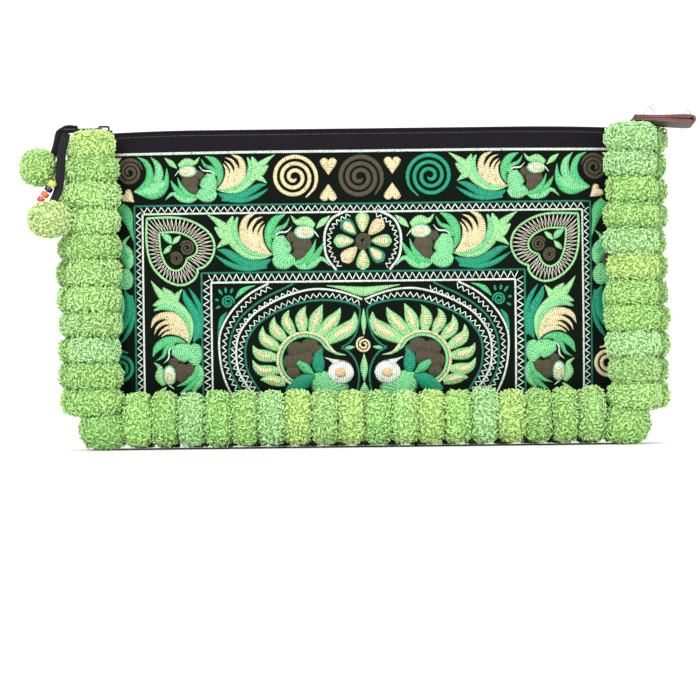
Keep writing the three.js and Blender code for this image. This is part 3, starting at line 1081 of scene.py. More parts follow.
# Flower-bird motif: (silk, lift, rows of x, z, half width) from its own middle.
BIRD = (
    (Thread.LIME, 0.0, (
        (-60.5, 28, 0.3), (-50, 20.5, 3.2), (-40, 10.5, 5.4), (-32, -3.5, 4.6), (-20, -14, 3),
        (-6, -15.8, 1.8), (5, -12.6, 0.3),
    )),
    (Thread.LIME, 0.0, ((-53, 15, 1.0), (-45, 8, 5), (-36, 2, 4.6))),
    (Thread.LIME, 0.0, ((-35, 26, 0.8), (-37.6, 17.5, 4.4), (-38, 8.5, 5.4), (-34.5, 0, 4))),
    (Thread.LIME, 0.0, ((-51.5, -6, 0.4), (-44, 0, 3.4), (-37, 3, 4))),
    (Thread.MINT, 0.25, (
        (-30, 25, 1.0), (-33.4, 14.5, 3.2), (-30.6, 2.5, 3.1), (-22.5, -7.5, 2.6), (-11, -13, 1.7),
        (3, -13.2, 0.3),
    )),
    (Thread.TEAL, 0.0, (
        (-50.6, -7.5, 0.5), (-42, -10, 3.4), (-32, -16.2, 4.4), (-21, -21.8, 4.8), (-8, -22.8, 5.0),
        (3, -17.8, 0.8),
    )),
    (Thread.TEAL, 0.0, (
        (-52.7, -13, 0.3), (-44, -19, 2.2), (-34, -24.2, 2.8), (-22, -27, 2.6), (-12, -26.4, 2.2),
        (-1, -25.4, 1.4),
    )),
    (Thread.CREAM, 0.0, (
        (-12.4, 28.5, 0.4), (-21, 23.5, 2.8), (-24.6, 13.5, 4), (-21, 0.5, 6), (-11, -8.5, 4.6),
        (4, -12.3, 0.3),
    )),
    (Thread.CREAM, 0.0, (
        (-5.4, 25.1, 0.3), (-12.5, 21.5, 1.6), (-17.5, 13, 2.3), (-17, 2.5, 4.6), (-10, -5.5, 4),
    )),
    (Thread.CREAM, 0.0, ((-4.4, 20.6, 0.3), (-9.2, 16, 1.4), (-12.5, 8.5, 2.2), (-11, -0.5, 4))),
    (Thread.CREAM, 0.0, (
        (-3, 17.5, 0.3), (-6.6, 11.5, 1.7), (-7.6, 2.5, 3.1), (-4.4, -6, 3), (2, -11, 0.4),
    )),
    (Thread.GREEN, 0.0, ((17.4, 27.1, 0.4), (8, 21.8, 4), (1.8, 12, 4.6), (0.6, 0.5, 3.4), (3, -9, 0.5))),
    (Thread.GREEN, 0.0, ((21.6, 23.8, 0.3), (17, 15.8, 1.9), (9, 11.8, 2.4), (4, 3.5, 2))),
    (Thread.WHITE, 0.1, ((24, 15.1, 0.3), (19, 9.8, 0.9), (11, 8.9, 1), (6.4, 4, 0.6))),
    (Thread.MINT, 0.0, ((4.2, -18, 1.2), (8, -18.6, 7), (14.5, -18.8, 9), (21, -19, 7.6), (27, -19.6, 3))),
    (Thread.MINT, 0.1, (
        (26, -22.4, 1.4), (31, -22.6, 5.2), (38, -22.6, 6), (45.5, -20.8, 5.2), (52, -18.5, 1.4),
    )),
    (Thread.MINT, 0.2, (
        (11.4, 5.8, 4.4), (12.6, -3, 9.4), (15, -12.6, 9.8), (19, -17, 6.4), (25, -17.4, 3),
    )),
    (Thread.GREEN, 0.35, (
        (48, 1.8, 0.3), (45, -7.5, 2.2), (40, -15.5, 3.8), (33, -20.5, 3.2), (27, -22.6, 1),
    )),
    (Thread.GREEN, 0.25, ((55.6, -1.5, 0.4), (52, -8.5, 2.4), (46, -16.5, 3.4), (38, -23.5, 2))),
    (Thread.MINT, 0.0, ((62, -25, 0.3), (54.5, -18, 2.2), (46, -19.5, 2.8), (37, -24.5, 2.6))),
    (Thread.LIME, 0.0, ((23.2, 26, 0.3), (29, 19.4, 2.8), (38, 20.2, 4.6), (46.5, 15, 2.8))),
    (Thread.LIME, 0.0, ((48.5, 12.8, 0.5), (55, 19, 3.3), (62.4, 25.4, 0.3))),
    (Thread.WHITE, 0.5, ((46, 10.6, 0.9), (50.8, 4, 0.4))),
)
# Its brown middle and its eye: (x, z, half length, half height, silk, lift, rise).
BIRD_OVALS = (
    (24, 4.3, 5.6, 5.6, Thread.BROWN, 0.35, 0.7),
    (34.2, -3.6, 9.8, 9.8, Thread.BROWN, 0.35, 0.7),
    (31.5, -12.4, 6.8, 6.8, Thread.BROWN, 0.35, 0.7),
    (36.6, 9.0, 10.4, 7.6, Thread.MINT, 0.6, 0.6),
    (36.8, 9.0, 9.0, 6.2, Thread.WHITE, 0.8, 0.6),
    (38.4, 9.0, 5.8, 4.0, Thread.CREAM, 1.1, 0.6),
)
BIRD_PLACES = (
    Placement(-94.8, 206.6),
    Placement(-141.6, 270.6, 0.9, 0.84, flip=True),
    Placement(-186.7, 109.8, 0.978, 0.92, flip=True, turn=90),
    Placement(-256.5, 156.0, 0.95, 0.95, turn=90),
)
# Heart of three petals, 19 units tall.
HEART = (
    ((0, -9.6, 0.3), (0, -3.5, 4.6), (0, 1.5, 8), (0, 5, 8.8)),
    ((-9.2, 5, 0.6), (-7, 5.2, 3), (-4.6, 5.2, 3.9), (-2, 4.8, 3), (0.4, 3.6, 0.6)),
    ((9.2, 5, 0.6), (7, 5.2, 3), (4.6, 5.2, 3.9), (2, 4.8, 3), (-0.4, 3.6, 0.6)),
)
# From here on places are read off the photo: (px, py) or (px, py, half width).
# Spirals of the top row: centre, (radius, turns, half width), silks left and right, angle of the outer end.
SPIRALS = (
    ((294.4, 176.3), (25.8, 3.1, 2.2), (Thread.CREAM, Thread.TEAL), -60),
    ((129.4, 171.4), (15.4, 2.7, 2.0), (Thread.BROWN, Thread.BROWN), 10),
    ((120, 367), (19.0, 2.6, 2.2), (Thread.TEAL, Thread.CREAM), 60),
)
TOP_SHAPES = (
    (Thread.MINT, (
        (134, 190.8, 0.5), (143, 190.8, 5.4), (152, 190.4, 8.8), (160, 187, 8.4), (165.4, 181, 3.4),
    )),
    (Thread.GREEN, (
        (137, 156, 0.3), (145.6, 161.5, 3), (149.8, 171, 3.9), (148.6, 181, 4.8), (141.4, 188, 3.4),
        (134, 190.6, 0.5),
    )),
    (Thread.MINT, ((150.6, 156, 0.3), (157.6, 164.6, 3.6), (158.6, 176, 5), (151, 187, 4))),
    (Thread.GREEN, (
        (166.8, 167, 0.3), (166.8, 177, 2.6), (163.8, 187, 4.4), (154, 194.4, 4.4), (140, 193, 1),
    )),
    (Thread.CREAM, ((112, 166, 0.6), (116, 160, 3), (121, 157, 0.4))),
    (Thread.GREEN, ((134, 241, 0.4), (130, 226, 3.4), (126, 214, 7.4), (119, 206, 6))),
)
HEART_OUTER = (
    (147.1, 217.6), (171.4, 216.8), (186, 218.7), (199.2, 224.2), (209.5, 232.3), (214.3, 241),
    (214.6, 251.4), (210.2, 260.9), (204.4, 266.4), (197.8, 268.6), (198.2, 273), (193.4, 280),
    (183, 284.6), (171.4, 282.4), (161, 275.6), (153, 266), (148.6, 254.3), (146.8, 241), (146.6, 229),
    (147.1, 217.6),
)
HEART_INNER = (
    (159.4, 232), (175.8, 231.6), (186, 234.4), (194, 239.6), (198, 247), (195.6, 254), (187.6, 258),
    (185.6, 263.8), (181, 268.8), (174.3, 269.9), (167, 264.8), (162.2, 254.5), (160.2, 244), (159.4, 232),
)
HEART_LEAVES = (
    (Thread.MINT, ((161.5, 233, 0.5), (168, 237.5, 4), (172, 243, 1))),
    (Thread.LIME, ((173, 243.5, 0.6), (176.6, 239.5, 3), (181, 235.4, 1))),
    (Thread.LIME, ((172, 244.5, 0.6), (168, 249, 3.1), (164, 253, 0.8))),
)
# Petal of the medallion and its coloured rim: (x, z, half width) from its middle.
MEDALLION_RIM = ((9, 0, 1.2), (14, 0, 4.2), (21, 0, 6.6), (26, 0, 5.8), (29, 0, 1.2))
MEDALLION_PETAL = ((11, 0, 0.8), (15, 0, 3.0), (20.5, 0, 4.7), (24, 0, 3.8), (26, 0, 0.8))
MEDALLION_LINE = ((348, 209.5), (333, 217.4), (326.6, 228), (324.9, 240), (327.4, 256.4), (337, 269.6))
MEDALLION_ZIGZAG = ((350, 213.8), (337.4, 221), (331.4, 230), (329.6, 240), (332, 253), (340.6, 266.6))
# Arches of the inner field: (silk, half width, rows), and zigzags between them: (height, rows).
ARCH_LINES = (
    (Thread.WHITE, 1.2, (
        (269, 283), (252.4, 291.8), (239.7, 302.4), (229.2, 315), (221.8, 329.7), (219.7, 342.3),
        (220.8, 359.2), (223.4, 372.9), (228, 386), (236, 402),
    )),
    (Thread.PINE, 1.2, (
        (294, 283), (282.9, 288.7), (268, 296), (252.4, 306.6), (239.7, 319.2), (232.4, 334),
        (229.9, 348.7), (230.5, 364.4), (234.5, 378), (247, 400),
    )),
    (Thread.WHITE, 1.2, (
        (362.8, 298.7), (352.3, 294.6), (339.7, 290.8), (326, 288.7), (312.3, 288.7), (297.6, 291.8),
        (282.9, 297), (268, 304.5), (255.5, 312.9), (246, 323.4), (238.9, 336), (236.8, 350.8),
        (237.8, 364.4), (241.8, 376), (256, 398),
    )),
    (Thread.PINE, 1.3, (
        (360.7, 309), (356.5, 304.6), (341.8, 300.6), (320.8, 299.5), (299.7, 302.4), (285, 307.6),
        (270.2, 315), (257.6, 324.5), (249.4, 336), (246.2, 346.6), (246.2, 359.2), (249.4, 372.9),
        (263, 396),
    )),
    (Thread.PINE, 1.2, ((360.7, 309), (359.9, 319.2), (355.7, 334), (349.4, 342.3), (341.8, 347))),
    (Thread.PINE, 1.2, (
        (341.8, 347), (350.2, 352), (356.5, 361.3), (359.5, 372.9), (358.6, 386.5), (354.5, 399),
    )),
)
ARCH_ZIGZAGS = (
    (4.6, (
        (271, 286.4), (255.5, 296), (242.9, 307.6), (233.4, 320.2), (227, 334), (225, 346.6), (226, 362.3),
        (231.3, 378), (243, 400),
    )),
    (4.6, (
        (298, 288.2), (282.9, 295), (268.1, 302.4), (253.4, 312.9), (240.8, 326.6), (235.5, 340.2),
        (233.4, 355), (236.6, 369.7), (250, 396),
    )),
    (5.0, (
        (361, 302.4), (350, 299), (336.5, 295.5), (320.8, 294.6), (306, 297), (291.3, 301.3),
        (276.6, 307.6), (264, 315), (253.4, 324.5), (245.2, 336), (241.2, 348.7), (242, 364.4),
        (246.4, 376), (259, 396),
    )),
)
# Petals of the corner suns, from end to end, and the leaves beside them.
SUN_PETALS = (
    (219, 288.8, 223.4, 294.6), (226, 287, 226.6, 292.6), (233, 287.6, 231.4, 293),
    (215.8, 299, 219.6, 299.6), (216.6, 307.8, 221, 305.6),
)
SUN_LEAVES = (
    (Thread.GREEN, ((236, 297.8, 0.6), (242, 291, 3), (248, 287.4, 2), (256, 284.8, 0.3))),
    (Thread.TEAL, ((227.4, 311.6, 0.5), (222.6, 318, 2.6), (220.4, 326, 1.8), (218.6, 336, 0.3))),
)
KEYSTONE = ((327, 284.9, 0.3), (338, 286.4, 1.6), (350, 288.6, 3.4), (358, 290.2, 4.8), (364.2, 291, 5.4))
# Petals of the crest: tip, belly and root of each, with the belly's half width.
CREST_PETALS = (
    ((260.8, 379.4), (272, 379.4), (286, 382.6), 5.6),
    ((252.9, 359.4), (263, 370.2), (279, 370), 5.6),
    ((253.4, 344.7), (262, 354.6), (277.6, 357.4), 5.8),
    ((263.4, 325.7), (266.2, 339.4), (279.4, 348), 5.9),
    ((275, 316.2), (275.8, 329.2), (285.4, 339), 5.9),
    ((289.7, 309.4), (287.2, 321.4), (293.8, 333.6), 5.6),
    ((306.3, 305.4), (301.8, 318), (303.4, 330.6), 6.1),
    ((323.2, 303.6), (317, 317.6), (312.4, 331.6), 6.3),
    ((341.1, 307), (332.6, 321), (319, 335.4), 6.5),
    ((355.3, 311.2), (348.6, 328), (326, 340.6), 7.4),
)
CREST_DISCS = (
    (297, 349.4, 9.6), (310.5, 345.8, 9.2), (291.6, 361.5, 8.6), (303, 357.5, 11.0), (293.6, 371.6, 7.2),
    (318, 350, 6.4),
)
# Body and leaves under the crest: (silk, lift, rows).
CREST_SHAPES = (
    (Thread.TEAL, 0.3, ((322.3, 347.6, 0.6), (319.2, 356, 5.8), (319.2, 365, 6.8), (320, 372, 4))),
    (Thread.GREEN, 0.4, ((314.6, 373.6, 0.8), (306, 367.4, 5.4), (298.2, 361.4, 2.6))),
    (Thread.TEAL, 0.2, ((315.6, 375.6, 2), (306, 380, 8), (298, 386, 9), (290, 394, 7))),
    (Thread.MINT, 0.0, ((318, 371.4, 5), (323, 380, 14), (329.6, 388, 20), (331.4, 401, 21))),
)
# Leaves of the stem on the middle line: heights of tip, middle and root, and the half width.
STEM = ((138.6, 125, 112, 2.9), (93.4, 79.4, 65.6, 4.2), (65.2, 54, 46, 6.0))


def chart(rows: tuple | Array) -> Array:
    """Chart positions of places read off the photo: u to the right of the middle line, v above the floor.

    Args:
        rows: (px, py, ...) in the photo, with any further columns left as they are.

    Returns:
        u = px - 364 + 0.012 (300 - py), v = 446.5 - py - 0.012 (px - 364).
    """
    p = np.asarray(rows, float)
    u = p[:, 0] - PHOTO_MIDDLE + PHOTO_LEAN * (300 - p[:, 1])
    v = PHOTO_FLOOR - p[:, 1] - PHOTO_LEAN * (p[:, 0] - PHOTO_MIDDLE)
    return np.column_stack([u, v, p[:, 2:]])


@dataclass
class Embroidery(Needle):
    """The whole pattern of the front panel, mirror-symmetric about the middle line."""

    def pair(self, rows: tuple | Array, thread: Thread, lift: float = 0.0, rise: float = 0.75) -> None:
        """One shape of the left half and its mirror image.

        Args:
            rows: (px, py, half width).
            thread: its silk.
            lift: millimetres over the cloth.
            rise: height of its dome.
        """
        p = chart(rows)
        self.satin(p, thread, lift, rise)
        self.satin(p * [-1, 1, 1], thread, lift, rise)

    def line_pair(self, rows: tuple, thread: Thread, half: float) -> None:
        """One couched line of the left half and its mirror image.

        Args:
            rows: (px, py).
            thread: its silk.
            half: half width.
        """
        p = chart(rows)
        self.line(p, thread, half)
        self.line(p * [-1, 1], thread, half)

    def zigzag_pair(self, rows: tuple, pitch: float, height: float) -> None:
        """One zigzag of the left half and its mirror image.

        Args:
            rows: (px, py).
            pitch: from peak to peak.
            height: from peak to valley.
        """
        p = chart(rows)
        self.zigzag(p, pitch, height)
        self.zigzag(p * [-1, 1], pitch, height)

    def spiral_pair(self, spot: tuple, coil: tuple, threads: tuple, start: float, hand: int = 1) -> None:
        """One spiral of the left half and its mirror image.

        Args:
            spot: (px, py) of its centre.
            coil: radius, turns and half width.
            threads: silks of the left and the right one.
            start: angle of the outer end, in degrees.
            hand: 1 or -1, the way it turns.
        """
        ((u, v),) = chart((spot,))
        self.spiral(u, v, *coil, threads[0], start, hand)
        self.spiral(-u, v, *coil, threads[1], 180 - start, -hand)

    def heart(self, u: float, v: float, size: float, turn: float) -> None:
        """A small cream heart.

        Args:
            u: centre.
            v: centre.
            size: scale.
            turn: degrees; 0 has the tip down.
        """
        for lobe in HEART:
            self.satin(Placement(u, v, size, size, turn=turn).move(lobe, 1), Thread.CREAM)

    def frame(self, half_width: float, top: float, gap: float) -> None:
        """Teal line, zigzag and white line round three sides of a field.

        Args:
            half_width: from the middle line to the teal line.
            top: height of the teal line.
            gap: from the teal line to the white one.
        """
        low = FRAME_LOW
        for inset, thread in ((0.0, Thread.PINE), (gap, Thread.WHITE)):
            w, t = half_width - inset, top - inset
            self.line([(-w, t), (-w / 2, t), (w / 2, t), (w, t)], thread)
            for side in (-1, 1):
                self.line([(side * w, z) for z in (t, (t * 2 + low) / 3, (t + low * 2) / 3, low)], thread)
        w, t = half_width - gap / 2, top - gap / 2
        self.zigzag([(-w + 2, t), (0, t), (w - 2, t)], FRAME_PITCH, gap - 2.6)
        for side in (-1, 1):
            self.zigzag([(side * w, z) for z in (t - 2, (t + low) / 2, low)], FRAME_PITCH, gap - 3.4)

    def borders(self) -> None:
        """Outer and inner frames and the line under the top band."""
        edge = BODY_HALF_WIDTH / UNIT - 20
        rows = [(-edge, 295.6), (-edge / 2, 296.8), (0, 296.8), (edge / 2, 296.8), (edge, 295.6)]
        self.line(rows, Thread.WHITE, 1.5)
        self.frame(228.5, 243.8, 8.2)
        self.frame(161.6, 175.8, 9.6)

    def birds(self) -> None:
        """The flower-bird motifs: two in each band, and one upright in each side band."""
        for place in BIRD_PLACES:
            for side in (1, -1):
                for thread, lift, rows in BIRD:
                    self.satin(place.move(rows, side), thread, lift, 0.7)
                for x, z, half_length, half_height, thread, lift, rise in BIRD_OVALS:
                    self.satin(place.move(oval(x, z, half_length, half_height), side), thread, lift, rise)

    def top_row(self) -> None:
        """Spirals, hearts and crescents of the top row, and the teal spirals of the side strips."""
        for spiral in SPIRALS:
            self.spiral_pair(*spiral)
        ((u, v),) = chart(((360.2, 176.3),))
        self.spiral(u, v, 25.8, 3.1, 2.6, Thread.BROWN, -50, 1)
        for px, top, low in ((328.9, 165, 192), (392.9, 163.8, 190.4)):
            for py, turn in ((top, 0), (low, 180)):
                ((u, v),) = chart(((px, py),))
                self.heart(u, v, 0.92, turn)
        ((u, v),) = chart(((128.6, 196.5),))
        for side in (-1, 1):
            self.heart(-side * u, v, 0.75, -side * 50)
        for thread, rows in TOP_SHAPES:
            self.pair(rows, thread)

    def big_hearts(self) -> None:
        """The two hearts in the corners of the second band, with needle stitches between two outlines."""
        outer, inner = chart(HEART_OUTER), chart(HEART_INNER)
        share = np.linspace(0.015, 0.985, HEART_STITCHES)
        odd = (np.arange(HEART_STITCHES) % 2 == 1)[:, None]
        for side in (1, -1):
            for (a, b), (c, d) in (((0, 10), (0, 7)), ((9, 20), (6, 14))):
                edges = outer[a:b] * [side, 1.0], inner[c:d] * [side, 1.0]
                self.line(edges[0], Thread.LIME, 1.35)
                self.line(edges[1], Thread.LIME, 1.2)
                dense = [smooth_path(edge, 0.5) for edge in edges]
                far, near = (edge[(share * (len(edge) - 1)).astype(int)] for edge in dense)
                points = np.where(odd, near, far)
                points = points + ((far + near) / 2 - points) * 0.14
                stitches = np.stack([points[:-1], points[1:]], 1)
                self.bars(stitches[::2], 0.32, Thread.WHITE)
                self.bars(stitches[1::2], 0.26, Thread.ROSE)
        for thread, rows in HEART_LEAVES:
            self.pair(rows, thread)
        for spot, radius in (((187.4, 247.6), 8.8), ((176.6, 258.4), 8.0)):
            self.spiral_pair(spot, (radius, 2.2, 1.3), (Thread.BROWN, Thread.BROWN), 160, -1)

    def medallion(self) -> None:
        """Eight petals round a brown spiral, between two white arcs."""
        v = chart(((362.6, 240.2),))[0, 1]
        for k, rim in enumerate((Thread.LIME, Thread.CREAM, Thread.MINT, Thread.TEAL) * 2):
            place = Placement(0.0, v, turn=90 - 45 * k)
            self.satin(place.move(MEDALLION_RIM, 1), rim, 0.0, 0.5)
            self.satin(place.move(MEDALLION_PETAL, 1), Thread.CREAM, 0.4, 0.6)
        self.spiral(0.0, v, 9.8, 2.6, 1.5, Thread.BROWN, 200, 1)
        self.line_pair(MEDALLION_LINE, Thread.WHITE, 1.4)
        self.zigzag_pair(MEDALLION_ZIGZAG, 5.4, 4.2)

    def arches(self) -> None:
        """The nested arches of the inner field and its corner suns."""
        for thread, half, rows in ARCH_LINES:
            self.line_pair(rows, thread, half)
        for height, rows in ARCH_ZIGZAGS:
            self.zigzag_pair(rows, 6.4, height)
        self.pair(KEYSTONE, Thread.LIME)
        self.spiral_pair((228.4, 301.4), (7.6, 2.1, 1.1), (Thread.TEAL, Thread.TEAL), -20)
        for x0, y0, x1, y1 in SUN_PETALS:
            middle = ((x0 + x1) / 2, (y0 + y1) / 2, 1.7)
            self.pair(((x0, y0, 0.7), middle, (x1, y1, 0.5)), Thread.TEAL, 0.0, 0.5)
        for thread, rows in SUN_LEAVES:
            self.pair(rows, thread)

    def petal(self, tip: Array, belly: Array, root: Array, half: float) -> None:
        """One bent petal of the crest: a lime leaf with a cream heart round its belly.

        Args:
            tip: (px, py) of its end.
            belly: where it is widest.
            root: where it grows.
            half: half width of the belly.
        """
        bend = (tip + belly) / 2 + (belly - (tip + root) / 2) * 0.35
        places = np.array([tip, bend, belly, (belly + root) / 2, root])
        widths = np.array([0.3, half * 0.62, half, half * 0.95, half * 0.6])
        self.pair(np.column_stack([places, widths]), Thread.LIME, 0.0, 0.6)
        share = 0.62
        heart = np.column_stack([places * share + belly * (1 - share), widths * 0.5])
        self.pair(heart, Thread.CREAM, 0.35, 0.55)

    def crests(self) -> None:
        """The petalled crests of the inner field and the leafy stem between them."""
        for *places, half in CREST_PETALS:
            self.petal(*np.array(places), half * 1.1)
        angle = np.radians(np.linspace(238, 48, 12))
        for inset, thread in ((0.0, Thread.CREAM), (3.3, Thread.MINT)):
            x = 306.2 + (27.9 - inset) * np.cos(angle)
            y = 359.8 - (27.9 - inset) * np.sin(angle)
            tail = [(330 - inset, 346 + inset * 0.3, 1.7), (336, 352.2, 1.6), (346.5, 354.4, 0.4)]
            self.pair(np.vstack([np.stack([x, y, np.full(12, 1.7)], 1), tail]), thread, 0.15, 0.6)
        for px, py, radius in CREST_DISCS:
            ((u, v),) = chart(((px, py),))
            for side in (1, -1):
                self.disc(side * u, v, radius, radius, Thread.BROWN)
        for thread, lift, rows in CREST_SHAPES:
            self.pair(rows, thread, lift, 0.8)
        ((u, v),) = chart(((341.4, 372),))
        for side in (1, -1):
            self.disc(u * side, v, 13.2, 13.0, Thread.WHITE, 0.6)
            self.disc(u * side, v, 5.8, 5.8, Thread.AMBER, 1.1)
        self.pair(((325.6, 356.8, 0.3), (332, 359.6, 1.8), (338, 363, 5)), Thread.WHITE, 0.6)
        for tip, middle, root, half in STEM:
            self.satin(np.array([(0, tip, 0.4), (0, middle, half), (0, root, 0.5)]), Thread.LIME)
        self.spiral(0, 102.4, 9.2, 2.1, 1.25, Thread.CREAM, 90, 1)
        self.pair(((345.6, 347.6, 0.4), (350, 347, 2.3), (355.4, 346.2, 0.6)), Thread.MINT)

    @classmethod
    def build(cls) -> None:
        """Makes each group of stitches one piece."""
        groups = {
            "borders": cls.borders, "birds": cls.birds, "top_row": cls.top_row, "hearts": cls.big_hearts,
            "medallion": cls.medallion, "arches": cls.arches, "crests": cls.crests,
        }
        for seed, (word, work) in enumerate(groups.items(), FIRST_STITCH_SEED):
            needle = cls(seed)
            work(needle)
            Made.piece(f"stitches_{word}", needle.patches, Silk(), "embroidered_cloth")


@dataclass
class PompomStrand:
    """Yarn pompoms along a line: a core in each ball, darkened as painted shade, and bent tufts of cut yarn
    over it.

    Attributes:
        name: front or back, and left, right or bottom, or pendant and upper or lower.
        centres: (n, 3) of the balls.
        radii: (n, 3) half sizes of the balls.
        tints: (n, 3) sRGB of the yarn.
        hidden: direction towards the cloth, in which no tuft is seen.
        outward: direction past the cloth's edge, in which the whole ball is seen.
        along: 0 or 2, the axis on which the balls touch, or -1 for a free ball.
        tufts: directions tried on each ball.
        seed: of the yarn's disorder.
    """

    name: str
    centres: Array
    radii: Array
    tints: Array
    hidden: Array
    outward: Array
    along: int
    tufts: int
    seed: int

    def cores(self) -> Patch:
        """Pillows of latitude rings, a little smaller than each ball.

        Returns:
            All cores.
        """
        count = len(self.centres)
        latitude = np.linspace(0.03, 0.97, CORE_RINGS)[:, None] * math.pi
        longitude = np.linspace(0, 2 * math.pi, CORE_SIDES, endpoint=False)
        flat = np.sin(latitude)
        parts = flat * np.cos(longitude), flat * np.sin(longitude), np.cos(latitude)
        unit = np.stack(np.broadcast_arrays(*parts), -1)
        ball = np.arange(count)[:, None, None]
        skin = self.pillow(np.broadcast_to(unit, (count, *unit.shape)), ball) * self.radii[:, None, None]
        points = self.centres[:, None, None] + skin * CORE_SIZE
        points[..., 2] = np.maximum(points[..., 2], 0.4)
        points = points.reshape(-1, 3)
        # Painted shade: each core takes about half its yarn's tint, so the gaps between tufts look shaded.
        tint = np.repeat(linear(self.tints) * [0.50, 0.56, 0.52], CORE_RINGS * CORE_SIDES, axis=0)
        return Patch(points, tube_faces(CORE_RINGS, CORE_SIDES, count)[:, ::-1], tint, points[:, :2])

    def pillow(self, unit: Array, ball: Array) -> Array:
        """Points of a short round pillow: d / (a^p + r^p)^(1/p) with a along the strand and r across it.

        Args:
            unit: unit directions.
            ball: number of each direction's ball; p is 3.6, and 2.3 for the ball in a corner or a free one.

        Returns:
            Points of the pillow of half size 1.
        """
        corner = (self.along == 0) & ((ball == 0) | (ball == len(self.centres) - 1))
        power = np.where(corner | (self.along < 0), 2.3, 3.6)
        a = np.abs(unit[..., max(self.along, 0)])
        r = np.sqrt(np.clip(1 - a * a, 0, 1))
        return unit / ((a**power + r**power) ** (1 / power))[..., None]

    def directions(self, rng: np.random.Generator) -> tuple[Array, Array]:
        """Even directions round each ball, shaken, turned by the ball's own angle and kept where they show.

        Args:
            rng: draws the disorder.

        Returns:
            The number of each tuft's ball, and its unit direction.
        """
        n, m = len(self.centres), self.tufts
        k = np.arange(m) + 0.5
        height = 1 - 2 * k / m
        turn = math.pi * (1 + 5**0.5) * k
        level = np.sqrt(1 - height**2)
        even = np.stack([level * np.cos(turn), level * np.sin(turn), height], -1)
        x, y, z = np.moveaxis(direction(even[None] + rng.normal(0, 0.07, (n, m, 3))), -1, 0)
        spin = rng.uniform(0, 2 * math.pi, n)
        c, s = np.cos(spin)[:, None], np.sin(spin)[:, None]
        unit = np.stack([c * x - s * y, s * x + c * y, z], -1)
        seen = (unit @ self.hidden < 0.3) | (unit @ self.outward > 0.25)
        if self.along >= 0:
            seen[1:-1] &= np.abs(unit[1:-1, :, self.along]) < 0.84
        return np.nonzero(seen)[0], unit[seen]

    def yarn(self) -> Patch:
        """Bent four-sided tubes from inside each ball to its surface, pushed sideways at random.

        Returns:
            All tufts.
        """
        rng = np.random.default_rng(self.seed)
        ball, unit = self.directions(rng)
        count = len(unit)
        reach = self.pillow(unit, ball) * self.radii[ball]
        sideways = rng.normal(0, 1, (count, 3))
        sideways = direction(sideways - unit * np.sum(sideways * unit, 1)[:, None])
        other = np.cross(unit, sideways)
        upright = rng.random((count, 1)) < 0.45
        curl = rng.uniform(0.35, 1.5, (count, 1)) * np.where(upright, 0.55, 1.0)
        hook = rng.uniform(-1.3, 1.3, (count, 1))
        length = rng.uniform(0.95, 1.01, (count, 1)) + np.where(upright, 0.06, 0.0)
        centre = self.centres[ball]
        stations = np.stack([
            centre + reach * 0.84 - sideways * curl * 0.5,
            centre + reach * 0.955 * length + sideways * curl * 0.45,
            centre + reach * (1.0 - 0.03 * curl) * length + sideways * curl * 2.4 + other * hook,
        ], 1)
        stations[..., 2] = np.maximum(stations[..., 2], 0.7)
        run = direction(np.gradient(stations, axis=1))
        a = direction(np.cross(run, other[:, None]))
        b = np.cross(run, a)
        angle = np.arange(4)[:, None] * math.pi / 2
        thick = np.array([0.42, 0.52, 0.38])[:, None, None] * rng.uniform(0.85, 1.15, (count, 1, 1, 1))
        ring = a[:, :, None] * np.cos(angle) + b[:, :, None] * np.sin(angle)
        points = stations[:, :, None] + ring * thick
        points[..., 2] = np.maximum(points[..., 2], 0.05)
        # Painted shade and highlight: each tuft is dark at its root inside the ball, and brighter and whiter
        # at its tip.
        shade = np.array([[0.20, 0.26, 0.22], [0.82, 0.84, 0.80], [1.26, 1.16, 1.50]])
        lively = rng.uniform(0.74, 1.16, (count, 1, 1))
        warm = 1 + rng.normal(0, 0.04, (count, 1, 3))
        tint = linear(self.tints)[ball][:, None] * shade * lively * warm
        tint = np.repeat(tint[:, :, None], 4, axis=2).reshape(-1, 3)
        uv = np.tile([(i, j / 4) for i in range(3) for j in range(4)], (count, 1))
        return Patch(points.reshape(-1, 3), tube_faces(3, 4, count), np.clip(tint, 0, 1), uv)

    def build(self) -> bpy.types.Object:
        """Makes the strand's piece.

        Returns:
            The piece.
        """
        free = self.along < 0
        node = self.name if free else f"pompoms_{self.name}"
        slot = "pendant_yarn" if free else "pompom_yarn"
        return Made.piece(f"yarn_{self.name}", [self.cores(), self.yarn()], Yarn(), slot, (node,))


# Yarns of the balls, as seen: grass, spring, pale mint, lime and moss.
YARNS = ((0.68, 0.88, 0.47), (0.71, 0.90, 0.51), (0.71, 0.92, 0.58), (0.75, 0.90, 0.48), (0.65, 0.87, 0.46))


def wobble(seed: Array) -> Array:
    """A repeatable number from -1 to 1: twice the fraction of sin(12.9898 s) * 43758.5453, less 1.

    Args:
        seed: any numbers.

    Returns:
        One number for each.
    """
    value = np.sin(seed * 12.9898) * 43758.5453
    return 2 * (value - np.floor(value)) - 1


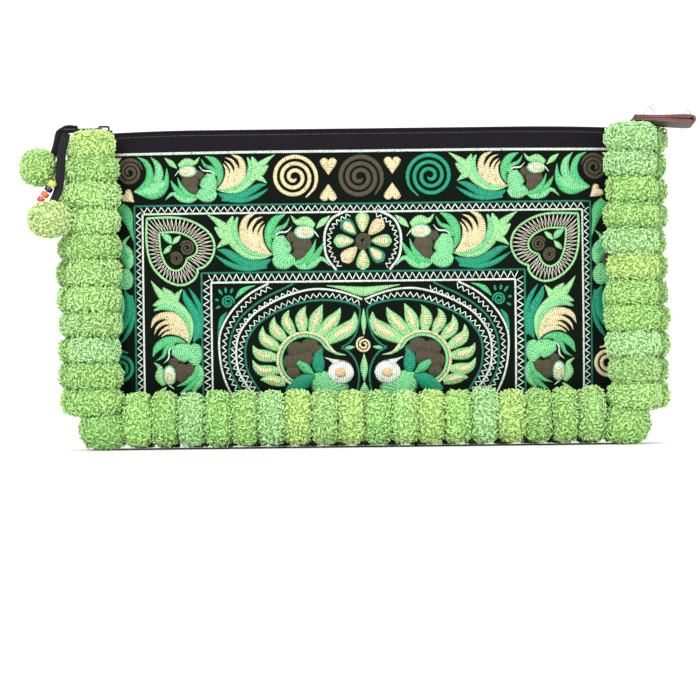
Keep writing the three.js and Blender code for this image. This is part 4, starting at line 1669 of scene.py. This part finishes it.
@dataclass(frozen=True)
class PompomTrim:
    """Four columns and two bottom rows of pompoms.

    Attributes:
        tufts: directions tried on each ball in front and behind.
        fewer: how many fewer are tried on a ball of the bottom rows.
        overhang: how far yarn tips stand out of the CAD ball.
    """

    tufts: tuple = (775, 525)
    fewer: int = 60
    overhang: float = 0.6

    def tints(self, count: int, seed: int) -> Array:
        """A yarn for each ball.

        Args:
            count: how many balls.
            seed: of the choice.

        Returns:
            (count, 3) sRGB.
        """
        rng = np.random.default_rng(seed)
        pick = rng.choice(len(YARNS), count, p=(0.34, 0.28, 0.12, 0.13, 0.13))
        return np.array(YARNS)[pick] * rng.uniform(0.96, 1.03, (count, 1))

    def column(self, face: int, side: int) -> PompomStrand:
        """One column: balls of even pitch from the top edge to the corner.

        Args:
            face: -1 in front and 1 behind.
            side: -1 left and 1 right.

        Returns:
            The strand.
        """
        pitch = (COLUMN_TOP - COLUMN_BOTTOM) / COLUMN_COUNT
        i = np.arange(COLUMN_COUNT)
        z = COLUMN_TOP - (i + 0.5) * pitch
        seed = 3 * side + 20 * face
        share = np.ones_like(z) if side > 0 else ease((COLUMN_TOP - z) / (COLUMN_TOP / 2))
        spread = np.zeros_like(z) if face < 0 else BACK_COLUMN_SPREAD * share
        x = (FRONT_COLUMN_X if face < 0 else BACK_COLUMN_X) + spread + 0.5 * wobble(seed + i)
        radius = COLUMN_RADIUS * (1 + 0.05 * wobble(seed + i + 0.5)) + self.overhang
        if side < 0:
            radius[:2] *= (0.86, 0.95)
            z[0] -= 1.2
        depth = np.full_like(z, POMPOM_DEPTH_RADIUS + self.overhang)
        return PompomStrand(
            f"{'front' if face < 0 else 'back'}_{'left' if side < 0 else 'right'}",
            np.stack([side * x, np.full_like(z, face * STRAND_DEPTH), z], 1),
            np.stack([radius, depth, np.full_like(z, pitch / 2 + TOUCH)], 1),
            self.tints(COLUMN_COUNT, 40 + seed), np.array([0.0, -face, 0.0]), np.array([side, 0.0, 0.0]), 2,
            self.tufts[face > 0], 60 + seed,
        )

    def row(self, face: int) -> PompomStrand:
        """One bottom row with a longer ball in each corner.

        Args:
            face: -1 in front and 1 behind.

        Returns:
            The strand.
        """
        number = FRONT_ROW_COUNT if face < 0 else BACK_ROW_COUNT
        pitch = 2 * ROW_HALF_LENGTH / number
        i = np.arange(number)
        seed = 50 + face
        level, size = (14.0, 15.2) if face < 0 else (10.6, 12.8)
        radius = size * (1 + 0.03 * wobble(seed + i + 0.5)) + self.overhang
        x = -ROW_HALF_LENGTH + (i + 0.5) * pitch
        z = level + 0.5 * wobble(seed + i)
        low = np.full_like(z, 2.0) if face < 0 else np.maximum(z - radius, 0)
        middle, half = (z + radius + low) / 2, (z + radius - low) / 2
        tall = (CORNER_HEIGHT + CORNER_RADIUS + self.overhang) / 2 + 1.6
        depth = POMPOM_DEPTH_RADIUS + self.overhang
        corner = np.array([ROW_HALF_LENGTH + CORNER_LENGTH / 2 - 1.2, face * STRAND_DEPTH, tall])
        big = np.array([CORNER_LENGTH / 2 + 0.8, depth, tall])
        balls = np.stack([x, np.full_like(x, face * STRAND_DEPTH), middle], 1)
        sizes = np.stack([np.full_like(x, pitch / 2 + TOUCH), np.full_like(x, depth), half], 1)
        centres = np.vstack([corner * [-1, 1, 1], balls, corner])
        return PompomStrand(
            f"{'front' if face < 0 else 'back'}_bottom", centres, np.vstack([big, sizes, big]),
            self.tints(len(centres), 47 + face), np.array([0.0, -face, 0.0]), np.array([0.0, 0.0, -1.0]), 0,
            self.tufts[face > 0] - self.fewer, 70 + face,
        )

    def build(self) -> None:
        """Makes the six strands."""
        for face in (-1, 1):
            for side in (-1, 1):
                self.column(face, side).build()
            self.row(face).build()


def sweep(line: Array, wide: Array, section: Array, tint: Array) -> Patch:
    """A section carried along a line: each ring is line + s0 * wide + s1 * (run x wide).

    Args:
        line: (n, 3) of the middle.
        wide: (3,) or (n, 3), the section's first axis.
        section: (m, 2) or (n, m, 2), m even, anticlockwise.
        tint: one linear colour or (m, 3).

    Returns:
        The closed tube.
    """
    run = direction(np.gradient(line, axis=0))
    first = np.broadcast_to(wide, line.shape)
    first = direction(first - run * np.sum(first * run, 1)[:, None])
    second = np.cross(run, first)
    shape = np.broadcast_to(section, (len(line), *np.shape(section)[-2:]))
    points = line[:, None] + first[:, None] * shape[..., :1] + second[:, None] * shape[..., 1:]
    m = shape.shape[1]
    uv = np.stack([np.repeat(distance(line), m), np.tile(np.arange(m) / m, len(line))], 1)
    colours = np.broadcast_to(tint, (len(line), m, 3)).reshape(-1, 3)
    return Patch(points.reshape(-1, 3), tube_faces(len(line), m)[:, ::-1], colours, uv)


def rounded(half_width: float, half_height: float, power: float = 0.5, count: int = 12) -> Array:
    """A section between a box and an oval: (w * sign(c) |c|^p, h * sign(s) |s|^p).

    Args:
        half_width: half size along the first axis.
        half_height: half size along the second axis.
        power: 1 is an oval, and near 0 a box.
        count: points, an even number.

    Returns:
        (count, 2) anticlockwise.
    """
    angle = (np.arange(count) + 0.5) * 2 * math.pi / count
    c, s = np.cos(angle), np.sin(angle)
    across = half_width * np.sign(c) * np.abs(c) ** power
    return np.stack([across, half_height * np.sign(s) * np.abs(s) ** power], 1)


def fine_thread(line: Array, half: float, colour: tuple, sides: int = 4) -> Patch:
    """A thin round thread along a line.

    Args:
        line: (n, 3) of the middle.
        half: half its thickness.
        colour: sRGB.
        sides: an even number.

    Returns:
        The closed tube.
    """
    return sweep(line, OVER_Y, rounded(half, half, 1.0, sides), linear(colour))


@dataclass(frozen=True)
class Zip:
    """Tapes, coil and loose end of the zip in the mouth."""

    def level(self, x: Array) -> Array:
        """Height of the tape's underside.

        Args:
            x: distance from the middle line.

        Returns:
            The height in millimetres.
        """
        return top_edge(x) + CLEARANCE

    def tape(self, face: int) -> Patch:
        """A woven strip with a folded outer edge, which rises into the leather tab.

        Args:
            face: -1 in front and 1 behind.

        Returns:
            The strip.
        """
        free = [136.4, TAB_START - CLEARANCE, TAB_START + 4.5, TAB_START + 9]
        x = np.concatenate([np.linspace(ZIP_LEFT, ZIP_RIGHT, 60), free])
        mouth = x <= ZIP_RIGHT
        tail = TAB_HEIGHT - math.tan(TAB_DROOP) * (x - TAB_START) - TAPE_THICKNESS / 2
        rise = smoothstep(x, ZIP_RIGHT, TAB_START - CLEARANCE)
        end = self.level(np.full_like(x, ZIP_RIGHT))
        level = np.where(mouth, self.level(x), end * (1 - rise) + tail * rise)
        held = np.maximum(half_depth(x, top_edge(x)), COIL_WIDTH)
        edge = np.where(mouth, held, COIL_WIDTH + (8.0 - COIL_WIDTH) * rise)
        inner = COIL_WIDTH / 2 + CLEARANCE
        line = np.stack([x, face * (inner + edge) / 2, level + TAPE_THICKNESS / 2], 1)
        section = rounded(1.0, TAPE_THICKNESS / 2, 0.45)
        sections = np.stack([section * [(e - inner) / 2, 1] for e in edge])
        return sweep(line, OVER_Y, sections, linear((0.13, 0.12, 0.14)))

    def coil(self) -> Patch:
        """Two rows of interlocking loops: each a short bent tube across the coil, one every 1.5 mm.

        Returns:
            All loops.
        """
        x = np.arange(ZIP_LEFT + 9, ZIP_RIGHT, 1.5)
        n = len(x)
        share = np.linspace(-1, 1, 7)
        side = np.where(np.arange(n) % 2 == 0, 1.0, -1.0)[:, None]
        y = side * (0.35 + share[None] * 0.9) * COIL_WIDTH / 2 * 0.8
        arch = np.sqrt(np.clip(1 - share[None] ** 2, 0.02, 1))
        z = self.level(x)[:, None] + 0.25 + (COIL_HEIGHT - 0.45) * arch
        line = np.stack([x[:, None] + 0.18 * share[None], y, z], -1)
        run = direction(np.gradient(line, axis=1))
        first = direction(np.cross(run, np.array([1.0, 0.0, 0.0])))
        second = np.cross(run, first)
        section = rounded(0.24, 0.3, 1.0, 6)
        points = line[:, :, None] + first[:, :, None] * section[:, :1] + second[:, :, None] * section[:, 1:]
        points = points.reshape(-1, 3)
        tint = np.tile(linear((0.16, 0.15, 0.18)), (len(points), 1))
        return Patch(points, tube_faces(7, 6, n)[:, ::-1], tint, points[:, :2])

    def stitches(self) -> Patch:
        """Small even stitches along the top edge of both bands.

        Returns:
            All stitches as short tubes.
        """
        x = np.arange(-128.0, 128.0, 1.6)
        ends = np.stack([x, x + 0.95], 1)
        parts = []
        for face in (-1, 1):
            z = top_edge(ends) - 1.6
            y = face * (half_depth(ends, z) + 0.12)
            line = np.stack([ends, y, z], -1)
            ring = rounded(0.17, 0.17, 1.0, 4)
            points = line[:, :, None] + np.stack([np.zeros(4), ring[:, 0], ring[:, 1]], 1)[None, None]
            parts.append(points.reshape(-1, 3))
        points = np.vstack(parts)
        tint = np.tile(linear((0.32, 0.31, 0.34)), (len(points), 1))
        return Patch(points, tube_faces(2, 4, 2 * len(x)), tint, points[:, [0, 2]])

    def stray(self) -> Patch:
        """The black end of thread caught in the second ball on the right.

        Returns:
            One thin bent tube.
        """
        rows = (
            (147.4, -26.2, 148.4), (150, -27, 149.4), (152.2, -27, 147.2), (152.5, -26.8, 143.6),
            (150.4, -26.2, 141.2),
        )
        return fine_thread(smooth_route(rows), 0.2, (0.10, 0.10, 0.10))

    def build(self) -> None:
        """Makes the zip's pieces and dresses the slider and the pull."""
        for face, word in ((-1, "front"), (1, "back")):
            woven = Cotton("zip_tape", (0.13, 0.12, 0.14), 0.4)
            Made.piece(f"tape_{word}", [self.tape(face)], woven, "zip_tape", (f"zip_tape_{word}",))
        nylon = Metal("zip_coil", (0.14, 0.13, 0.16))
        Made.piece("coil_loops", [self.coil()], nylon, "zip_coil", ("zip_coil",))
        Made.piece("edge_stitches", [self.stitches(), self.stray()], Yarn("sewing_thread"), "black_cotton")
        for node in ("zip_slider", "zip_pull"):
            for place in bpy.data.objects[node].material_slots:
                place.material = Metal().material()


@dataclass(frozen=True)
class LeatherTab:
    """A strip of leather folded round the zip's loose end, seen edge-on.

    Attributes:
        threads: routes of the loose ends of its sewing thread.
    """

    threads: tuple = (
        ((146.5, -12, 171), (148.2, -12.3, 173.8), (150.6, -12.4, 175.6), (152.4, -12.2, 176.4)),
        ((149.6, -12, 175), (151.4, -12.2, 173.6), (152.4, -12.1, 171)),
        ((166.8, -12, 169.6), (168.6, -12.4, 172.6), (170.6, -12.2, 172), (171.6, -12, 169.4)),
        ((166.2, -12, 166.6), (166, -12.3, 164.4), (166.6, -12.2, 162.2)),
    )

    def build(self) -> None:
        """Sweeps the strip round the fold: flat, half turn, flat, with cut edges and loose threads."""
        outer = TAPE_THICKNESS / 2 + CLEARANCE + LEATHER
        middle = outer / 2
        bend = TAB_LENGTH - outer
        angle = np.linspace(math.pi / 2, -math.pi / 2, 11)
        flat = np.linspace(0, bend, 12)[:-1]
        x = np.concatenate([flat, bend + middle * np.cos(angle), flat[::-1]])
        z = np.concatenate([np.full(11, middle), middle * np.sin(angle), np.full(11, -middle)])
        z = z * (0.8 + 0.5 * smoothstep(x, bend - 22, bend - 2))
        c, s = math.cos(TAB_DROOP), math.sin(TAB_DROOP)
        line = np.stack([TAB_START + c * x + s * z, np.zeros_like(x), TAB_HEIGHT - s * x + c * z], 1)
        section = rounded(TAB_WIDTH / 2, middle, 0.3, 16)
        edge = np.abs(section[:, 0]) > TAB_WIDTH / 2 * 0.93
        # Painted shade: the faces are tinted near black so that the underside looks shaded; the cut edges
        # keep the leather's brown.
        tint = np.where(edge[:, None], linear((0.36, 0.21, 0.21)), linear((0.13, 0.08, 0.08)))
        parts = [sweep(line, OVER_Y - [0, 0, 0.07], section, tint)]
        for rise in (-1.5, -0.35, 0.45, 1.6):
            run = np.linspace(0.6, bend - 1, 24)
            sway = rise * (0.8 + 0.5 * smoothstep(run, bend - 22, bend - 2)) + 0.12 * np.sin(run * 1.9 + rise)
            level = TAB_HEIGHT + 0.84 - s * run + c * sway
            seam = np.stack([TAB_START + c * run + s * sway, np.full(24, -TAB_WIDTH / 2 + 0.05), level], 1)
            parts.append(fine_thread(seam, 0.15, (0.52, 0.35, 0.34), 6))
        for rows in self.threads:
            parts.append(fine_thread(smooth_route(rows), 0.2, (0.36, 0.33, 0.33)))
        Made.piece("leather_fold", parts, Leather(), "brown_leather", ("leather_tab",))


STRAP_SECTION = rounded(STRAP_WIDTH / 2, STRAP_THICKNESS / 2, 0.4)
STRAP_TINT = linear((0.12, 0.115, 0.13))
STRAP_CLOTH = Cotton("black_strap", (0.15, 0.145, 0.165), 0.7)


@dataclass(frozen=True)
class HangingStrap:
    """The strap on the zip pull, its two tails, pompom pendants and beads.

    Attributes:
        long_tail: route of the tail with the lower pendant, measured from the fold.
        short_tail: route of the tail with the upper pendant, which ends at its middle.
        bead_start: upper end of the beads, measured from the fold.
        bead_run: direction of their thread.
        beads: colour of each bead, by node.
    """

    long_tail: tuple = (
        (0.4, -1.4, -2), (-0.6, -1.8, -6), (-1.8, -4, -12), (-2.6, -8.2, -26.7), (-3.4, -10.2, -32),
        (-5.2, -16.8, -38.05),
    )
    short_tail: tuple = (
        (6.4, 0.9, 0.4), (0, 0.9, -0.2), (-3.25, 0.9, -1.7), (-4.1, 0.9, -5), (-5.2, 0.9, -9.5),
        (-6.8, 0.9, -13), (-14.4, 0.9, -19.6),
    )
    bead_start: tuple = (-5.2, -12.8, -27.4)
    bead_run: tuple = (-0.58, 0, -0.815)
    beads: tuple = (
        ("bead_lime", (0.80, 0.86, 0.25)), ("bead_black", (0.10, 0.07, 0.13)),
        ("bead_orange", (0.95, 0.45, 0.15)), ("bead_pink", (0.86, 0.18, 0.36)),
    )

    def route(self, rows: tuple) -> Array:
        """Points of a tail every 1.6 mm along a smooth curve.

        Args:
            rows: control points, measured from the fold.

        Returns:
            (n, 3) in millimetres.
        """
        dense = smooth_route(rows, 0.2)
        run = distance(dense)
        at = np.linspace(0, run[-1], max(8, int(run[-1] / 1.6)))
        return FOLD + np.stack([np.interp(at, run, column) for column in dense.T], 1)

    def tail(self, word: str, rows: tuple, wide: tuple, with_pieces: list, end: str) -> None:
        """One flat tail.

        Args:
            word: long or short.
            rows: its route.
            wide: direction of its width.
            with_pieces: what hangs on it; not used.
            end: how it ends; not used.
        """
        line = self.route(rows)
        strap = sweep(line, np.array(wide), STRAP_SECTION, STRAP_TINT)
        piece = Made.piece(f"strap_tail_{word}", [strap], STRAP_CLOTH, "black_strap", (f"strap_{word}",))

    def bead(self, name: str, centre: Array, colour: tuple) -> bpy.types.Object:
        """A drilled bead: a ring of section swept once round its hole.

        Args:
            name: the CAD node's name.
            centre: in millimetres.
            colour: sRGB.

        Returns:
            The piece.
        """
        axis = direction(np.array(self.bead_run))
        second = np.cross(axis, OVER_Y)
        phi = np.linspace(0, 2 * math.pi, BEAD_SIDES, endpoint=False)[:, None]
        psi = np.linspace(0, 2 * math.pi, BEAD_RING, endpoint=False)[:, None]
        reach = 1.42 + 0.84 * np.cos(psi)
        rise = 1.5 * np.sign(np.sin(psi)) * np.abs(np.sin(psi)) ** 0.8
        around = OVER_Y * np.cos(phi) + second * np.sin(phi)
        points = (centre + around[:, None] * reach + axis * rise).reshape(-1, 3)
        i, j = np.meshgrid(np.arange(BEAD_SIDES), np.arange(BEAD_RING), indexing="ij")
        a, b = (i + 1) % BEAD_SIDES, (j + 1) % BEAD_RING
        corners = i * BEAD_RING + j, a * BEAD_RING + j, a * BEAD_RING + b, i * BEAD_RING + b
        faces = np.stack(corners, -1).reshape(-1, 4)
        ball = Patch(points, faces, np.tile(linear(colour), (len(points), 1)), points[:, :2])
        slot = name.removeprefix("bead_") + "_bead"
        return Made.piece(f"glass_{name}", [ball], Glass(name, colour), slot, (name,))

    def pendant(
        self, word: str, centre: Array, radii: tuple, tint: tuple, tufts: int, seed: int
    ) -> bpy.types.Object:
        """One pompom on the end of a tail.

        Args:
            word: upper or lower.
            centre: in millimetres.
            radii: half sizes.
            tint: sRGB of its yarn.
            tufts: directions tried.
            seed: of the yarn's disorder.

        Returns:
            The piece.
        """
        free = np.zeros(3)
        one = [np.array([row], float) for row in (centre, radii, tint)]
        return PompomStrand(f"pendant_{word}", *one, free, free, -1, tufts, seed).build()

    def build(self) -> None:
        """Makes the fold, both tails, both pendants and the beads."""
        Made.piece("strap_loop", [self.fold()], STRAP_CLOTH, "black_strap", ("strap_fold",))
        place = FOLD + self.short_tail[-1]
        upper = self.pendant("upper", place, (9.7, 9.7, 9.7), (0.70, 0.88, 0.48), 560, 91)
        lower_x = 3.0 - FRONT_COLUMN_X - COLUMN_RADIUS * 1.03 - 0.5 - CLEARANCE - 10.8
        place = (lower_x, -20.8, FOLD[2] - 47.6)
        lower = self.pendant("lower", place, (11.3, 11.3, 9.4), (0.78, 0.90, 0.54), 620, 92)
        start = FOLD + self.bead_start
        run = direction(np.array(self.bead_run))
        beads = []
        for i, (name, colour) in enumerate(self.beads):
            beads.append(self.bead(name, start + run * (i + 0.5) * BEAD_PITCH, colour))
        ends = np.linspace(-1.6, len(self.beads) * BEAD_PITCH + 1.6, 8)
        thread = fine_thread(start + run * ends[:, None], 0.25, (0.15, 0.15, 0.16), 8)
        string = Made.piece("bead_string", [thread], Yarn("sewing_thread"), "bead_thread", ("bead_thread",))
        self.tail("long", self.long_tail, (1.0, 0.0, 0.12), [lower, string, *beads], "bare")
        self.tail("short", self.short_tail, (0.62, 0.6, -0.5), [upper], "knot")

    def fold(self) -> Patch:
        """The strap's wrap round the pull's eye: a rounded block swept through the eye.

        Returns:
            The wrap.
        """
        angle = np.linspace(0.25 * math.pi, 1.95 * math.pi, 20)
        loop = np.stack([2.2 + 3.9 * np.cos(angle), np.zeros(20), 0.3 + 1.5 * np.sin(angle)], 1)
        return sweep(FOLD + loop, OVER_Y, STRAP_SECTION, STRAP_TINT)


def main() -> None:
    """Builds the studio and the pouch in order."""
    logging.basicConfig(level=logging.INFO, format="%(message)s")
    studio = Studio()
    studio.camera()
    HangingStrap().build()
    Zip().build()
    LeatherTab().build()
    ClothWalls().build()
    PompomTrim().build()
    Embroidery().build()
    studio.build()


if __name__ == "__main__":
    main()
